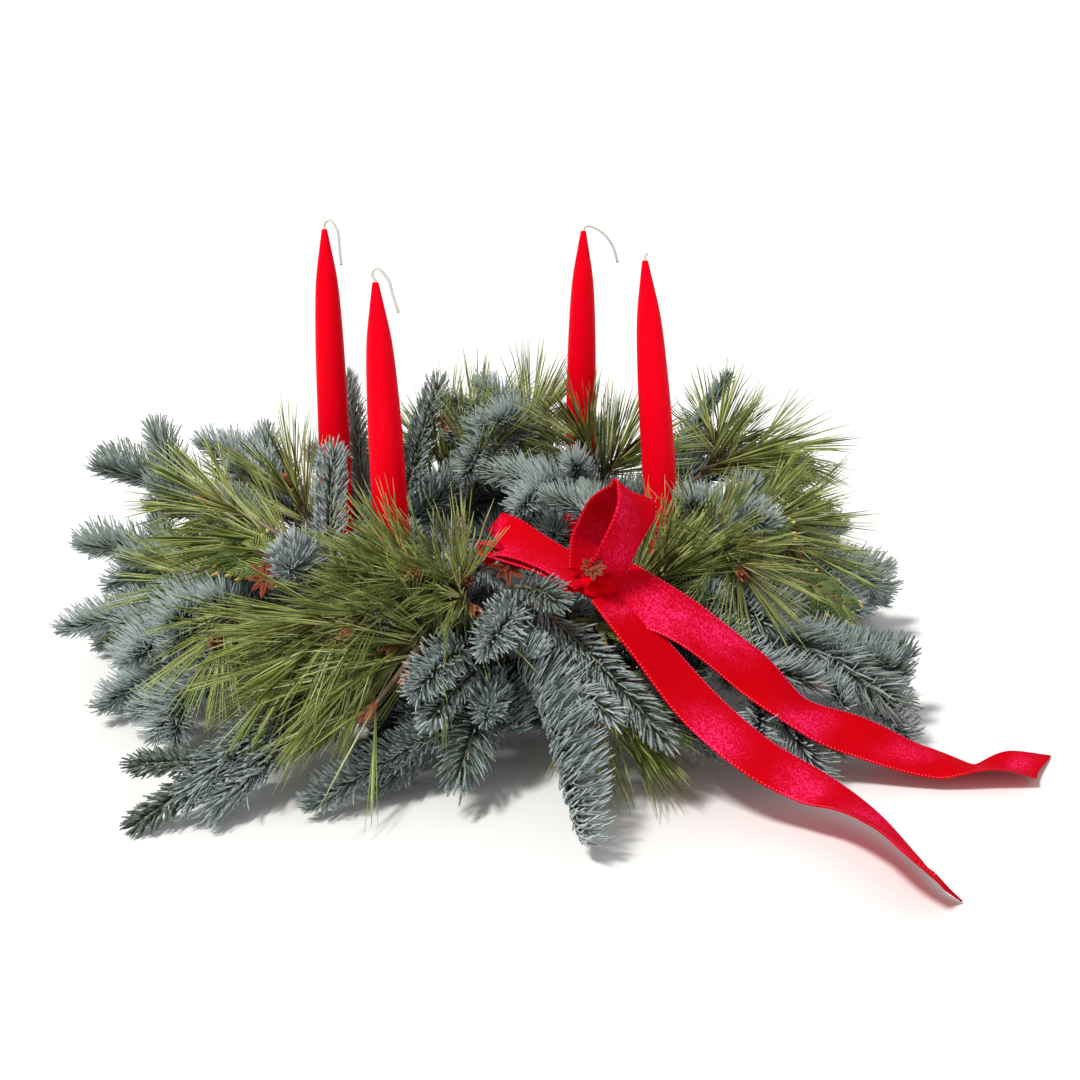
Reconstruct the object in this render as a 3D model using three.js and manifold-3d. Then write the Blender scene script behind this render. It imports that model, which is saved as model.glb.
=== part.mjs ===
// A fresh evergreen wreath that lies on a table, with four dipped candles and a velvet ribbon bow.
// Millimetres and degrees, +Z up. The wire ring lies around the Z axis of the inner group, with the
// bow at the front (-Y). A place on the wreath is written [azimuth, radius, height].
// Each sprig is a closed envelope of its needles, bent along its twigs and trimmed by its neighbours.
import * as THREE from "three";
import { mergeVertices } from "three/addons/utils/BufferGeometryUtils.js";
import { ConvexGeometry } from "three/addons/geometries/ConvexGeometry.js";
import Module from "manifold-3d";

const wasm = await Module();
wasm.setup();

// ---------------------------------------------------------------- driving dimensions
const GAP = 0.35; // clearance between neighbouring pieces

const RING = { radius: 127, height: 20, spacing: 14, wire: 3.6, crossbars: 8 };
const BINDING = { wire: 1.2, coil: 10.3, turns: 19, turnAngle: 18, steps: 8 };
const CORE_RADIUS = BINDING.coil + BINDING.wire / 2 + GAP; // what the sprigs leave to the bound ring

const CUP = { bore: 22.8, wall: 0.9, height: 22, floor: 1.2 };
const CANDLE = { diameter: 22, wickBore: 1.3, wickDepth: 8 };
const WICK_RADIUS = 0.9;
const CANDLES = [
  // lean: how far the tip stands right (+X) and back (+Y) of the base; wick: points from the tip up
  { at: "back_left", azimuth: 151.8, length: 254, lean: [-2.4, 11.6],
    wick: [[0, 0, 0], [0.5, 0, 4], [4, -1, 6], [8.5, -2, 0], [9.6, -2, -12], [10.4, -2, -24]] },
  { at: "front_left", azimuth: 241.8, length: 254, lean: [-7.6, -10.4],
    wick: [[0, 0, 0], [-1.5, 0, 5], [1.5, -1, 8], [7, -1, 2], [9.5, -1, -8], [12, -1, -18]] },
  { at: "back_right", azimuth: 61.8, length: 248, lean: [0.6, -12.6],
    wick: [[0, 0, 0], [2, 0, 3], [8, 0, 2], [16, -1, -4], [21, -1, -12], [24, -1, -22]] },
  { at: "front_right", azimuth: 331.8, length: 254, lean: [-21.6, 8.4],
    wick: [[0, 0, 0], [0.3, 0, 2.5], [1.6, 0, 4.5]] },
];

const RIBBON = { width: 38, thickness: 1.4, clearAbove: 45, slantFront: 0.02, slantRight: 0.15 };
const KNOT = { azimuth: 286.8, radius: 191, height: 117, size: [11, 10, 8] };
const TIE_WIRE = { diameter: 1.2, azimuth: 295.8 };

const POD = { rays: 8, girth: 3.6 };
const PODS = [
  { name: "star_pod_left", spot: [228.9, 204, 112], tilt: [50, -25], reach: 13 },
  { name: "star_pod_front", spot: [272.0, 170, 123], tilt: [40, 0], reach: 13 },
  { name: "star_pod_bow", spot: [285.6, 195, 129], tilt: [50, 0], reach: 9 },
  { name: "star_pod_back", spot: [107.1, 121, 131], tilt: [30, 20], reach: 13 },
];

// The share of its girth that a twig's needle envelope has along its length.
const FORM = {
  fir: [[0, 0.35], [0.22, 0.92], [0.8, 1], [1, 0.45]],
  pine: [[0, 0.16], [0.35, 0.3], [0.7, 1], [1, 0.7]],
  cedar: [[0, 0.3], [0.4, 1], [1, 0.4]],
};
const TWIG_SIDES = 5;
const PINE_NEEDLE_REACH = 50; // how far a pine twig's needles stand past its bud

// Every sprig, most prominent first. stem: [from, to, lift, girth]; side twigs: [share of the stem
// where they leave it, to, lift, girth]. A lift raises the middle of a twig over its straight line.
const SPRIGS = [
  { name: "fir_front_centre", kind: "fir", stem: [[271, 138, 45], [278, 297, 4], 90, 20],
    sides: [[0.35, [286, 240, 52], 8, 14], [0.3, [275, 222, 95], 6, 12], [0.03, [262, 88, 62], 26, 14],
      [0.03, [282, 90, 58], 22, 14]] },
  { name: "fir_front_long", kind: "fir", stem: [[268, 134, 75], [291, 254, 45], 85, 15],
    sides: [[0.25, [276, 156, 124], 4, 11], [0.4, [300, 250, 24], 6, 14]] },
  { name: "fir_front_round", kind: "fir", stem: [[266, 132, 70], [267.5, 226, 90], 35, 18],
    sides: [[0.45, [256.6, 222, 64], 25, 18]] },
  { name: "fir_front_curled", kind: "fir", stem: [[262, 136, 40], [264, 238, 9], 60, 18],
    sides: [[0.5, [252, 230, 7], 5, 15], [0.6, [246, 262, 8], 4, 14]] },
  { name: "fir_left_ground", kind: "fir", stem: [[246, 134, 35], [233.8, 296, 12], 34, 17],
    sides: [[0.78, [231, 318, 3], 0, 9], [0.76, [227, 292, 26], 0, 9], [0.04, [240, 88, 54], 24, 14]] },
  { name: "pine_front_left", kind: "pine", stem: [[256, 140, 80], [246, 217, 95], 25, 26],
    sides: [[0.6, [238, 244, 70], 8, 24], [0.5, [234, 228, 88], 8, 22]] },
  { name: "pine_front_droop", kind: "pine", stem: [[262, 140, 62], [256, 226, 74], 35, 24],
    sides: [[0.6, [249, 238, 54], 0, 22]] },
  { name: "fir_left_inner", kind: "fir", stem: [[236, 132, 70], [219.4, 175, 110], 30, 19],
    sides: [[0.3, [248, 217, 100], 12, 16]] },
  { name: "pine_left_high", kind: "pine", stem: [[226, 140, 92], [206, 183, 116], 20, 24],
    sides: [[0.5, [188, 195, 124], 8, 24]] },
  { name: "pine_left_middle", kind: "pine", stem: [[222, 140, 60], [200, 213, 82], 20, 24],
    sides: [[0.4, [226, 236, 78], 8, 22]] },
  { name: "fir_left_low", kind: "fir", stem: [[214, 134, 40], [210, 236, 76], 25, 19],
    sides: [[0.4, [207, 262, 46], 5, 19], [0.35, [190, 274, 42], 8, 16], [0.4, [201, 262, 4], 0, 17],
      [0.4, [218, 262, 12], 4, 18], [0.04, [214, 86, 58], 26, 17]] },
  { name: "fir_left_point", kind: "fir", stem: [[196, 133, 30], [171.5, 293, 64], 36, 16],
    sides: [[0.55, [181, 262, 50], 5, 16], [0.5, [178, 272, 4], 0, 17], [0.04, [194, 86, 62], 24, 17]] },
  { name: "fir_left_high", kind: "fir", stem: [[179, 131, 24], [162.7, 291, 112], 44, 17],
    sides: [[0.6, [161.8, 252, 138], 8, 16], [0.5, [170, 244, 92], 0, 15], [0.35, [164, 270, 6], 12, 18],
      [0.2, [176, 178, 108], 10, 17], [0.03, [174, 88, 64], 20, 16]] },
  { name: "fir_back_left", kind: "fir", stem: [[154, 140, 50], [150.8, 227, 116], 20, 17],
    sides: [[0.5, [144, 208, 122], 8, 15], [0.4, [141, 268, 50], 20, 18], [0.3, [152, 266, 9], 14, 18],
      [0.04, [152, 88, 58], 20, 16]] },
  { name: "pine_back_left", kind: "pine", stem: [[166, 124, 60], [158, 158, 112], 5, 20],
    sides: [[0.3, [154, 210, 84], 10, 20]] },
  { name: "fir_back_upright", kind: "fir", stem: [[142, 112, 50], [135.4, 150, 170], 10, 10],
    sides: [[0.2, [168, 100, 120], 8, 13], [0.15, [136, 190, 104], 12, 14]] },
  { name: "pine_front_candle", kind: "pine", stem: [[260, 134, 80], [254, 167, 120], 12, 24],
    sides: [[0.4, [247, 178, 112], 5, 20], [0.3, [267, 200, 108], 10, 18]] },
  { name: "fir_front_inner", kind: "fir", stem: [[246, 112, 70], [273, 160, 106], 40, 16], sides: [] },
  { name: "fir_back_inner", kind: "fir", stem: [[72, 148, 78], [108, 95, 78], 110, 18],
    sides: [[0.35, [107, 150, 140], 4, 11]] },
  { name: "fir_centre_inner", kind: "fir", stem: [[42, 131, 24], [78, 46, 82], 88, 18],
    sides: [[0.5, [98, 70, 108], 4, 15]] },
  { name: "fir_bow_inner", kind: "fir", stem: [[336, 112, 60], [355, 48, 104], 30, 16], sides: [] },
  { name: "pine_back_centre", kind: "pine", stem: [[112, 130, 60], [104, 134, 118], 5, 24],
    sides: [[0.5, [88, 150, 122], 10, 24], [0.3, [124, 156, 100], 5, 22]] },
  { name: "pine_back_candle", kind: "pine", stem: [[46, 116, 80], [52, 96, 138], 5, 18],
    sides: [[0.3, [40, 126, 126], 8, 20]] },
  { name: "pine_right_inner", kind: "pine", stem: [[342, 142, 78], [325.5, 160, 116], 12, 20],
    sides: [[0.5, [317, 200, 104], 12, 22]] },
  { name: "fir_right_inner", kind: "fir", stem: [[14, 150, 60], [326, 172, 104], 50, 18],
    sides: [[0.2, [12, 182, 104], 10, 17]] },
  { name: "fir_right_point", kind: "fir", stem: [[12, 134, 24], [0.9, 270, 38], 44, 18],
    sides: [[0.5, [350, 242, 40], 5, 15], [0.4, [12, 272, 5], 8, 18], [0.35, [20, 258, 54], 12, 17],
      [0.03, [14, 88, 60], 24, 17]] },
  { name: "pine_right", kind: "pine", stem: [[356, 134, 60], [2.7, 200, 96], 24, 22],
    sides: [[0.6, [350, 206, 76], 8, 20], [0.4, [14, 206, 84], 10, 20]] },
  { name: "fir_right_low", kind: "fir", stem: [[332, 136, 38], [326.8, 297, 5], 40, 19],
    sides: [[0.4, [331, 285, 40], 10, 16], [0.4, [342, 274, 7], 6, 17], [0.04, [330, 88, 56], 22, 16]] },
  { name: "fir_right_under", kind: "fir", stem: [[312, 134, 56], [325, 214, 56], 45, 18],
    sides: [[0.2, [311, 284, 4], 30, 19], [0.04, [306, 88, 60], 22, 17]] },
  { name: "cedar_right", kind: "cedar", stem: [[318, 150, 78], [340, 242, 58], 40, 12],
    sides: [[0.45, [342, 178, 112], 5, 9], [0.6, [333, 234, 46], 4, 10]] },
  { name: "pine_back_right", kind: "pine", stem: [[32, 138, 78], [30, 245, 112], 30, 20],
    sides: [[0.4, [41, 222, 124], 8, 20], [0.3, [26, 196, 112], 8, 20], [0.4, [22, 226, 84], 8, 20]] },
  { name: "fir_back_right", kind: "fir", stem: [[48, 134, 24], [42, 233, 156], 12, 9],
    sides: [[0.35, [31, 274, 76], 30, 18], [0.7, [45, 238, 142], 0, 8], [0.15, [40, 274, 9], 30, 18],
      [0.05, [34, 88, 56], 8, 14]] },
  { name: "pine_front_under", kind: "pine", stem: [[284, 136, 42], [287, 208, 36], 16, 20],
    sides: [[0.5, [294, 216, 34], 5, 18]] },
  { name: "cedar_left", kind: "cedar", stem: [[236, 160, 84], [216, 214, 100], 20, 9],
    sides: [[0.5, [228, 222, 103], 6, 9]] },
  { name: "fir_rear_right", kind: "fir", stem: [[70, 131, 24], [62, 285, 4], 60, 20],
    sides: [[0.45, [52, 268, 54], 10, 18], [0.4, [72, 262, 40], 8, 18], [0.25, [66, 196, 108], 10, 17],
      [0.03, [64, 90, 54], 20, 16]] },
  { name: "fir_rear", kind: "fir", stem: [[89, 131, 24], [90, 285, 4], 62, 20],
    sides: [[0.45, [82, 264, 64], 10, 18], [0.45, [100, 265, 40], 8, 18], [0.3, [80, 206, 104], 8, 17],
      [0.03, [94, 86, 44], 22, 16]] },
  { name: "fir_rear_left", kind: "fir", stem: [[124, 131, 24], [120, 285, 4], 60, 20],
    sides: [[0.45, [111, 264, 60], 10, 18], [0.4, [130, 268, 38], 8, 18], [0.28, [124, 206, 106], 10, 17],
      [0.03, [126, 86, 42], 20, 16]] },
  { name: "pine_rear", kind: "pine", stem: [[104, 136, 44], [100, 214, 96], 40, 22],
    sides: [[0.5, [114, 216, 88], 8, 20]] },
];

// ---------------------------------------------------------------- materials
const metal = new THREE.MeshStandardMaterial({ color: 0x8a8d86, roughness: 0.45, metalness: 0.9 });
const green = new THREE.MeshStandardMaterial({ color: 0x2f4a33, roughness: 0.5, metalness: 0.5 });
const wax = new THREE.MeshStandardMaterial({ color: 0xd8000f, roughness: 0.4, metalness: 0 });
const cotton = new THREE.MeshStandardMaterial({ color: 0xe9e6df, roughness: 0.9, metalness: 0 });
const velvet = new THREE.MeshStandardMaterial({ color: 0xcf0018, roughness: 0.7, metalness: 0 });
const husk = new THREE.MeshStandardMaterial({ color: 0x7a3b26, roughness: 0.8, metalness: 0 });
const foliage = {
  fir: new THREE.MeshStandardMaterial({ color: 0x6b7f7d, roughness: 0.6, metalness: 0 }),
  pine: new THREE.MeshStandardMaterial({ color: 0x6f8442, roughness: 0.55, metalness: 0 }),
  cedar: new THREE.MeshStandardMaterial({ color: 0x556b33, roughness: 0.6, metalness: 0 }),
};

// ---------------------------------------------------------------- places and solids
const radians = THREE.MathUtils.degToRad;
const v3 = (x, y, z) => new THREE.Vector3(x, y, z);

// The point at an azimuth, radius and height of the wreath.
function spot([azimuth, radius, height]) {
  const angle = radians(azimuth);
  return v3(radius * Math.cos(angle), radius * Math.sin(angle), height);
}

// A closed geometry as a solid, and a solid as a geometry again.
function solid(geometry, matrix = new THREE.Matrix4()) {
  const bare = new THREE.BufferGeometry().setAttribute("position", geometry.getAttribute("position"));
  if (geometry.index) bare.setIndex(geometry.index);
  const merged = mergeVertices(bare.clone().applyMatrix4(matrix), 1e-4);
  return new wasm.Manifold(
    new wasm.Mesh({
      numProp: 3,
      vertProperties: new Float32Array(merged.attributes.position.array),
      triVerts: new Uint32Array(merged.index.array),
    }),
  );
}

function geometryOf(body) {
  const mesh = body.getMesh();
  const geometry = new THREE.BufferGeometry();
  geometry.setAttribute("position", new THREE.BufferAttribute(mesh.vertProperties, 3));
  geometry.setIndex(new THREE.BufferAttribute(mesh.triVerts, 1));
  geometry.computeVertexNormals();
  return geometry;
}

const join = (bodies) => bodies.reduce((whole, body) => whole.add(body));
const trim = (body, tools) => tools.reduce((rest, tool) => rest.subtract(tool), body);

// The largest of the pieces that a trimmed solid falls into.
function largest(body) {
  return body.decompose().reduce((best, piece) => (piece.volume() > best.volume() ? piece : best));
}

// Moves each vertex of an upright shape, z from 0 to 1, onto a curve. x runs across, y outwards.
// Past the ends the shape goes straight on; acrossAt gives the direction of x.
function follow(geometry, curve, acrossAt) {
  const position = geometry.getAttribute("position");
  const length = curve.getLength();
  for (let i = 0; i < position.count; i++) {
    const [x, y, z] = [position.getX(i), position.getY(i), position.getZ(i)];
    const share = THREE.MathUtils.clamp(z, 0, 1);
    const ahead = curve.getTangent(share);
    const across = acrossAt(share, ahead).clone();
    across.addScaledVector(ahead, -across.dot(ahead)).normalize();
    const outward = v3().crossVectors(across, ahead);
    const point = curve.getPoint(share).addScaledVector(ahead, (z - share) * length);
    point.addScaledVector(across, x).addScaledVector(outward, y);
    position.setXYZ(i, point.x, point.y, point.z);
  }
  return geometry;
}

// A level direction across a curve, or +X where the curve climbs steeply.
const levelAcross = (share, ahead) => (Math.abs(ahead.z) < 0.9 ? v3(-ahead.y, ahead.x, 0) : v3(1, 0, 0));

// A round bar along a curve; its profile is [share of the length, radius].
function bar(curve, profile, sides, grow = 0, acrossAt = levelAcross) {
  const over = grow / curve.getLength();
  const outline = profile.map(([share, radius]) => new THREE.Vector2(radius + grow, share));
  outline[0].y -= over;
  outline.at(-1).y += over;
  const first = new THREE.Vector2(0, outline[0].y);
  const last = new THREE.Vector2(0, outline.at(-1).y);
  const shape = new THREE.LatheGeometry([first, ...outline, last], sides).rotateX(Math.PI / 2).scale(-1, 1, 1);
  return solid(outwards(follow(shape, curve, acrossAt)));
}

// Turns a closed shape's faces to point out of it.
function outwards(geometry) {
  const index = geometry.index.array;
  const corner = [v3(), v3(), v3()];
  let volume = 0;
  for (let i = 0; i < index.length; i += 3) {
    corner.forEach((c, k) => c.fromBufferAttribute(geometry.attributes.position, index[i + k]));
    volume += corner[0].dot(v3().crossVectors(corner[1], corner[2]));
  }
  if (volume < 0) for (let i = 0; i < index.length; i += 3) [index[i], index[i + 1]] = [index[i + 1], index[i]];
  return geometry;
}

// ---------------------------------------------------------------- scene graph
const wreath = new THREE.Group();

function piece(name, geometry, material, parent = wreath) {
  const mesh = new THREE.Mesh(geometry, material);
  mesh.name = name;
  parent.add(mesh);
  return mesh;
}

// ---------------------------------------------------------------- ring, binding wire
// A wire ring or the space that the binding fills, with a round section.
function torus(radius, thickness, sides, steps) {
  const shape = new THREE.TorusGeometry(radius, thickness, sides, steps);
  return solid(shape.translate(0, 0, RING.height));
}

// Two welded wire rings with short bars between them, one bar under each candle.
function ringFrame() {
  const half = RING.spacing / 2;
  const rings = [-half, half].map((offset) => torus(RING.radius + offset, RING.wire / 2, 6, 32));
  const bars = [];
  for (let i = 0; i < RING.crossbars; i++) {
    const azimuth = CANDLES[0].azimuth + (360 / RING.crossbars) * i;
    const line = new THREE.LineCurve3(
      spot([azimuth, RING.radius - half, RING.height]),
      spot([azimuth, RING.radius + half, RING.height]),
    );
    bars.push(bar(line, [[0, 1.5], [1, 1.5]], 6));
  }
  return join([...rings, ...bars]);
}

// The wire that binds the stems winds round the ring and passes midway between the candle cups.
class BindingCurve extends THREE.Curve {
  getPoint(share) {
    const turn = share * BINDING.turns;
    const start = CANDLES[0].azimuth + BINDING.turnAngle / 4;
    const around = turn * 2 * Math.PI;
    const radius = RING.radius + BINDING.coil * Math.cos(around);
    return spot([start + turn * BINDING.turnAngle, radius, RING.height + BINDING.coil * Math.sin(around)]);
  }
}

function bindingWire() {
  const steps = BINDING.turns * BINDING.steps;
  const profile = [];
  for (let i = 0; i <= steps; i++) profile.push([i / steps, BINDING.wire / 2]);
  return bar(new BindingCurve(), profile, 4);
}

// ---------------------------------------------------------------- candles
// A dipped taper: widest at its foot, drawn in to a point at the top, with a bore for the wick.
function candleShape(length, grow = 0) {
  const half = CANDLE.diameter / 2 + grow;
  const profile = [[0, -grow], [0.93 * half, -grow], [half, 3], [0.97 * half, 0.45 * length],
    [0.86 * half, 0.72 * length], [0.66 * half, length - 34], [0.38 * half, length - 14],
    [0.17 * half, length + grow]];
  const bore = grow ? [[0, length + grow]] : [[CANDLE.wickBore, length], [CANDLE.wickBore, length - CANDLE.wickDepth],
    [0, length - CANDLE.wickDepth]];
  return lathe([...profile, ...bore], 14);
}

// A tin cup with a floor.
function cupShape(grow = 0) {
  const outer = CUP.bore / 2 + CUP.wall + grow;
  if (grow) return lathe([[0, -grow], [outer, -grow], [outer, CUP.height + grow], [0, CUP.height + grow]], 14);
  return lathe([[0, 0], [outer, 0], [outer, CUP.height], [CUP.bore / 2, CUP.height], [CUP.bore / 2, CUP.floor],
    [0, CUP.floor]], 14);
}

// A turned shape about Z from its outline, a list of [radius, height].
function lathe(outline, sides) {
  const points = outline.map(([radius, height]) => new THREE.Vector2(radius, height));
  return outwards(new THREE.LatheGeometry(points, sides).rotateX(Math.PI / 2));
}

function wickShape(points, length) {
  const root = v3(0, 0, length - CANDLE.wickDepth + GAP);
  const curve = new THREE.CatmullRomCurve3([root, ...points.map(([x, y, z]) => v3(x, y, z + length))]);
  const steps = 2 * points.length;
  const profile = [];
  for (let i = 0; i <= steps; i++) profile.push([i / steps, WICK_RADIUS]);
  return bar(curve, profile, 5);
}

// One candle in its cup on the ring; the group leans, its pieces stay upright in it.
function candleStand({ at, azimuth, length, lean, wick }) {
  const stand = new THREE.Group();
  stand.position.copy(spot([azimuth, RING.radius, RING.height + RING.wire / 2 + GAP]));
  const towards = v3(lean[0], lean[1], Math.sqrt(length ** 2 - lean[0] ** 2 - lean[1] ** 2)).normalize();
  stand.quaternion.setFromUnitVectors(v3(0, 0, 1), towards);
  wreath.add(stand);
  const seat = CUP.floor + GAP;
  piece("candle_cup_" + at, cupShape(), metal, stand);
  piece("candle_" + at, candleShape(length), wax, stand).position.z = seat;
  piece("wick_" + at, geometryOf(wickShape(wick, length)), cotton, stand).position.z = seat;
  stand.updateMatrixWorld(true);
  const grown = solid(candleShape(length, 1).translate(0, 0, seat), stand.matrixWorld);
  return [grown, solid(outwards(cupShape(GAP)), stand.matrixWorld)];
}

// ---------------------------------------------------------------- bow
// A ribbon runs through places on the wreath. Each stop is [place, direction across the ribbon]. A
// slant is the share of the length by which its near edge is cut off before its far edge.
class RibbonPath {
  constructor(stops, slant = 0) {
    this.slant = slant;
    this.line = new THREE.CatmullRomCurve3(stops.map(([at]) => at));
    this.across = new THREE.CatmullRomCurve3(stops.map(([, across]) => across));
    this.steps = 3 * (stops.length - 1);
  }
  // below and above: how far the section reaches to each side of the ribbon's middle
  strip(below, above, extra = 0) {
    const depth = below + above;
    const width = RIBBON.width + 2 * extra;
    const shape = new THREE.BoxGeometry(width, depth, 1, 1, 1, this.steps);
    shape.translate(0, (above - below) / 2, 0.5);
    const position = shape.getAttribute("position");
    for (let i = 0; i < position.count; i++)
      position.setZ(i, position.getZ(i) * (1 - this.slant * (position.getX(i) / width + 0.5)));
    return follow(shape, this.line, (share) => this.across.getPoint(share));
  }
  body() {
    return solid(outwards(this.strip(RIBBON.thickness / 2, RIBBON.thickness / 2)));
  }
}

const knot = spot([KNOT.azimuth, KNOT.radius, KNOT.height]);

// The tail that falls to the front of the table, and the one that runs off to the right.
const TAIL_FRONT = [
  [v3(61.8, -187.5, 112.5), v3(-0.52, -0.85, 0.1)],
  [v3(81.9, -205.7, 90.7), v3(-0.54, -0.84, 0.07)],
  [v3(111, -225.1, 59.4), v3(-0.61, -0.8, -0.02)],
  [v3(141.7, -240.6, 36.9), v3(-0.59, -0.81, -0.02)],
  [v3(167.4, -249.9, 24.9), v3(-0.51, -0.86, -0.02)],
  [v3(187, -265.8, 19.9), v3(-0.53, -0.81, 0.26)],
  [v3(203, -297.5, 18), v3(-0.63, -0.51, 0.59)],
  [v3(212.5, -329, 17.5), v3(-0.66, -0.26, 0.71)],
  [v3(222, -342.5, 15), v3(-0.6, -0.36, 0.71)],
];
const TAIL_RIGHT = [
  [v3(70.4, -179.2, 115.1), v3(-0.01, -0.9, -0.43)],
  [v3(103.7, -178, 94.4), v3(-0.05, -0.86, -0.5)],
  [v3(142.8, -181.7, 63.7), v3(-0.06, -0.86, -0.51)],
  [v3(176.2, -192.2, 38), v3(0.09, -0.96, -0.28)],
  [v3(209.9, -192.5, 24.5), v3(0.09, -0.94, -0.33)],
  [v3(250.9, -194.6, 9.5), v3(0.06, -1, -0.05)],
  [v3(280.2, -198, 8.2), v3(0.32, -0.88, 0.36)],
  [v3(306.1, -192.2, 6.2), v3(0.24, -0.97, 0)],
  [v3(329.6, -189.5, 1.6), v3(0.21, -0.98, 0)],
];
// The loops start and end in the knot.
const LOOP_LEFT = [
  [v3(52, -182, 118.5), v3(-0.3, -0.9, 0)],
  [v3(30, -168, 128), v3(-0.15, -0.97, -0.06)],
  [v3(8, -151.5, 132.5), v3(0.12, -0.95, -0.16)],
  [v3(-1, -144.5, 130.5), v3(0.25, -0.93, -0.2)],
  [v3(8, -151.5, 127.5), v3(0.12, -0.95, -0.16)],
  [v3(29, -168, 122.5), v3(-0.15, -0.97, -0.06)],
  [v3(50, -182, 113.5), v3(-0.3, -0.9, 0)],
];
const LOOP_UPPER = [
  [v3(58, -184, 121), v3(0.7, 0.6, -0.1)],
  [v3(68, -184, 141), v3(0.65, 0.75, -0.2)],
  [v3(77, -176, 160), v3(0.6, 0.74, -0.3)],
  [v3(76, -166, 166), v3(0.5, 0.72, -0.45)],
  [v3(64, -160, 160), v3(0.6, 0.74, -0.3)],
  [v3(55, -164, 141), v3(0.65, 0.75, -0.2)],
  [v3(54, -180, 121), v3(0.7, 0.6, -0.1)],
];

// A hull round a ribbon loop, which keeps the sprigs out of it.
function loopRoom(path) {
  const strip = path.strip(RIBBON.thickness / 2 + GAP, RIBBON.thickness / 2 + GAP, GAP);
  const position = strip.getAttribute("position");
  const points = Array.from({ length: position.count }, (_, i) => v3().fromBufferAttribute(position, i));
  return solid(new ConvexGeometry(points));
}

function knotShape(grow = 0) {
  const ball = new THREE.IcosahedronGeometry(1, 1);
  ball.scale(KNOT.size[0] + grow, KNOT.size[1] + grow, KNOT.size[2] + grow);
  const shape = mergeVertices(new THREE.BufferGeometry().setAttribute("position", ball.attributes.position), 1e-4);
  return solid(shape.translate(knot.x, knot.y, knot.z));
}

function tieWire() {
  const foot = spot([TIE_WIRE.azimuth, RING.radius + RING.spacing / 2, RING.height]);
  const line = new THREE.CatmullRomCurve3([knot.clone(), v3(58, -160, 84), v3(61, -134, 50), foot]);
  const radius = TIE_WIRE.diameter / 2;
  return (grow) => bar(line, [0, 0.25, 0.5, 0.75, 1].map((share) => [share, radius]), 5, grow);
}

// ---------------------------------------------------------------- pods and sprigs
// A star of narrow seed cases round a hub.
function starPod({ spot: at, tilt, reach }, grow = 0) {
  const rays = [];
  for (let i = 0; i < POD.rays; i++) {
    const angle = (2 * Math.PI * i) / POD.rays;
    const out = reach * (1 - 0.12 * (i % 3));
    const tip = v3(out * Math.cos(angle), out * Math.sin(angle), 2.5);
    const line = new THREE.LineCurve3(v3(0, 0, 0), tip);
    rays.push(bar(line, [[0, 0.6 * POD.girth], [1, 0.8]], 4, grow));
  }
  const place = new THREE.Matrix4()
    .makeTranslation(...spot(at).toArray())
    .multiply(new THREE.Matrix4().makeRotationFromEuler(new THREE.Euler(radians(tilt[0]), radians(tilt[1]), 0)));
  return solid(geometryOf(join(rays)), place);
}

// A twig's needle envelope between two points.
function twig(kind, from, to, lift, girth, grow) {
  const past = kind === "pine" ? PINE_NEEDLE_REACH : 0;
  const middle = v3().addVectors(from, to).multiplyScalar(0.5);
  middle.z += lift;
  const end = to.clone().addScaledVector(v3().subVectors(to, middle).normalize(), past);
  const curve = new THREE.QuadraticBezierCurve3(from, middle, end);
  const across = v3(from.y - to.y, to.x - from.x, 0);
  return bar(curve, FORM[kind].map(([share, size]) => [share, size * girth]), TWIG_SIDES, grow, () => across);
}

function sprig({ kind, stem, sides }, grow = 0) {
  const [from, to] = [spot(stem[0]), spot(stem[1])];
  const middle = v3().addVectors(from, to).multiplyScalar(0.5);
  middle.z += stem[2];
  const axis = new THREE.QuadraticBezierCurve3(from, middle, to);
  const twigs = [twig(kind, from, to, stem[2], stem[3], grow)];
  for (const [share, tip, lift, girth] of sides)
    twigs.push(twig(kind, axis.getPoint(share), spot(tip), lift, girth, grow));
  return join(twigs);
}

// ---------------------------------------------------------------- assembly
const core = torus(RING.radius, CORE_RADIUS, 8, 60);
const tableTop = solid(new THREE.BoxGeometry(900, 900, 100).translate(0, 0, -50));
const standRooms = CANDLES.flatMap(candleStand);

piece("wire_ring_frame", geometryOf(largest(trim(ringFrame(), standRooms))), metal);
piece("binding_wire", geometryOf(bindingWire()), green);

const loops = [LOOP_LEFT, LOOP_UPPER].map((stops) => new RibbonPath(stops));
const tails = [new RibbonPath(TAIL_FRONT, RIBBON.slantFront), new RibbonPath(TAIL_RIGHT, RIBBON.slantRight)];
const bow = join([knotShape(), ...loops.map((path) => path.body())]);
const bowRooms = [knotShape(GAP), ...loops.map(loopRoom)];
piece("ribbon_bow", geometryOf(bow), velvet);

const slim = RIBBON.thickness / 2 + GAP;
const tailRooms = tails.map((path) => solid(outwards(path.strip(slim, RIBBON.clearAbove, GAP))));
const slotOf = (path) => solid(outwards(path.strip(slim, slim, GAP)));
const [loopSlots, tailSlots] = [loops.map(slotOf), tails.map(slotOf)];
const bowSlots = [bowRooms[0], ...loopSlots, tableTop];
piece("ribbon_tail_front", geometryOf(largest(trim(tails[0].body(), bowSlots))), velvet);
piece("ribbon_tail_right", geometryOf(largest(trim(tails[1].body(), [...bowSlots, tailSlots[0]]))), velvet);

const tie = tieWire();
const wireRing = torus(RING.radius + RING.spacing / 2, RING.wire / 2 + GAP, 6, 40);
piece("bow_tie_wire", geometryOf(largest(trim(tie(0), [bowRooms[0], wireRing]))), metal);

const rooms = [core, tableTop, ...standRooms, ...bowRooms, ...tailRooms, tie(GAP)];
const podTools = [...standRooms, ...bowSlots, ...tailSlots];
for (const pod of PODS) {
  piece(pod.name, geometryOf(largest(trim(starPod(pod), podTools))), husk);
  rooms.push(starPod(pod, GAP));
}

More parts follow.
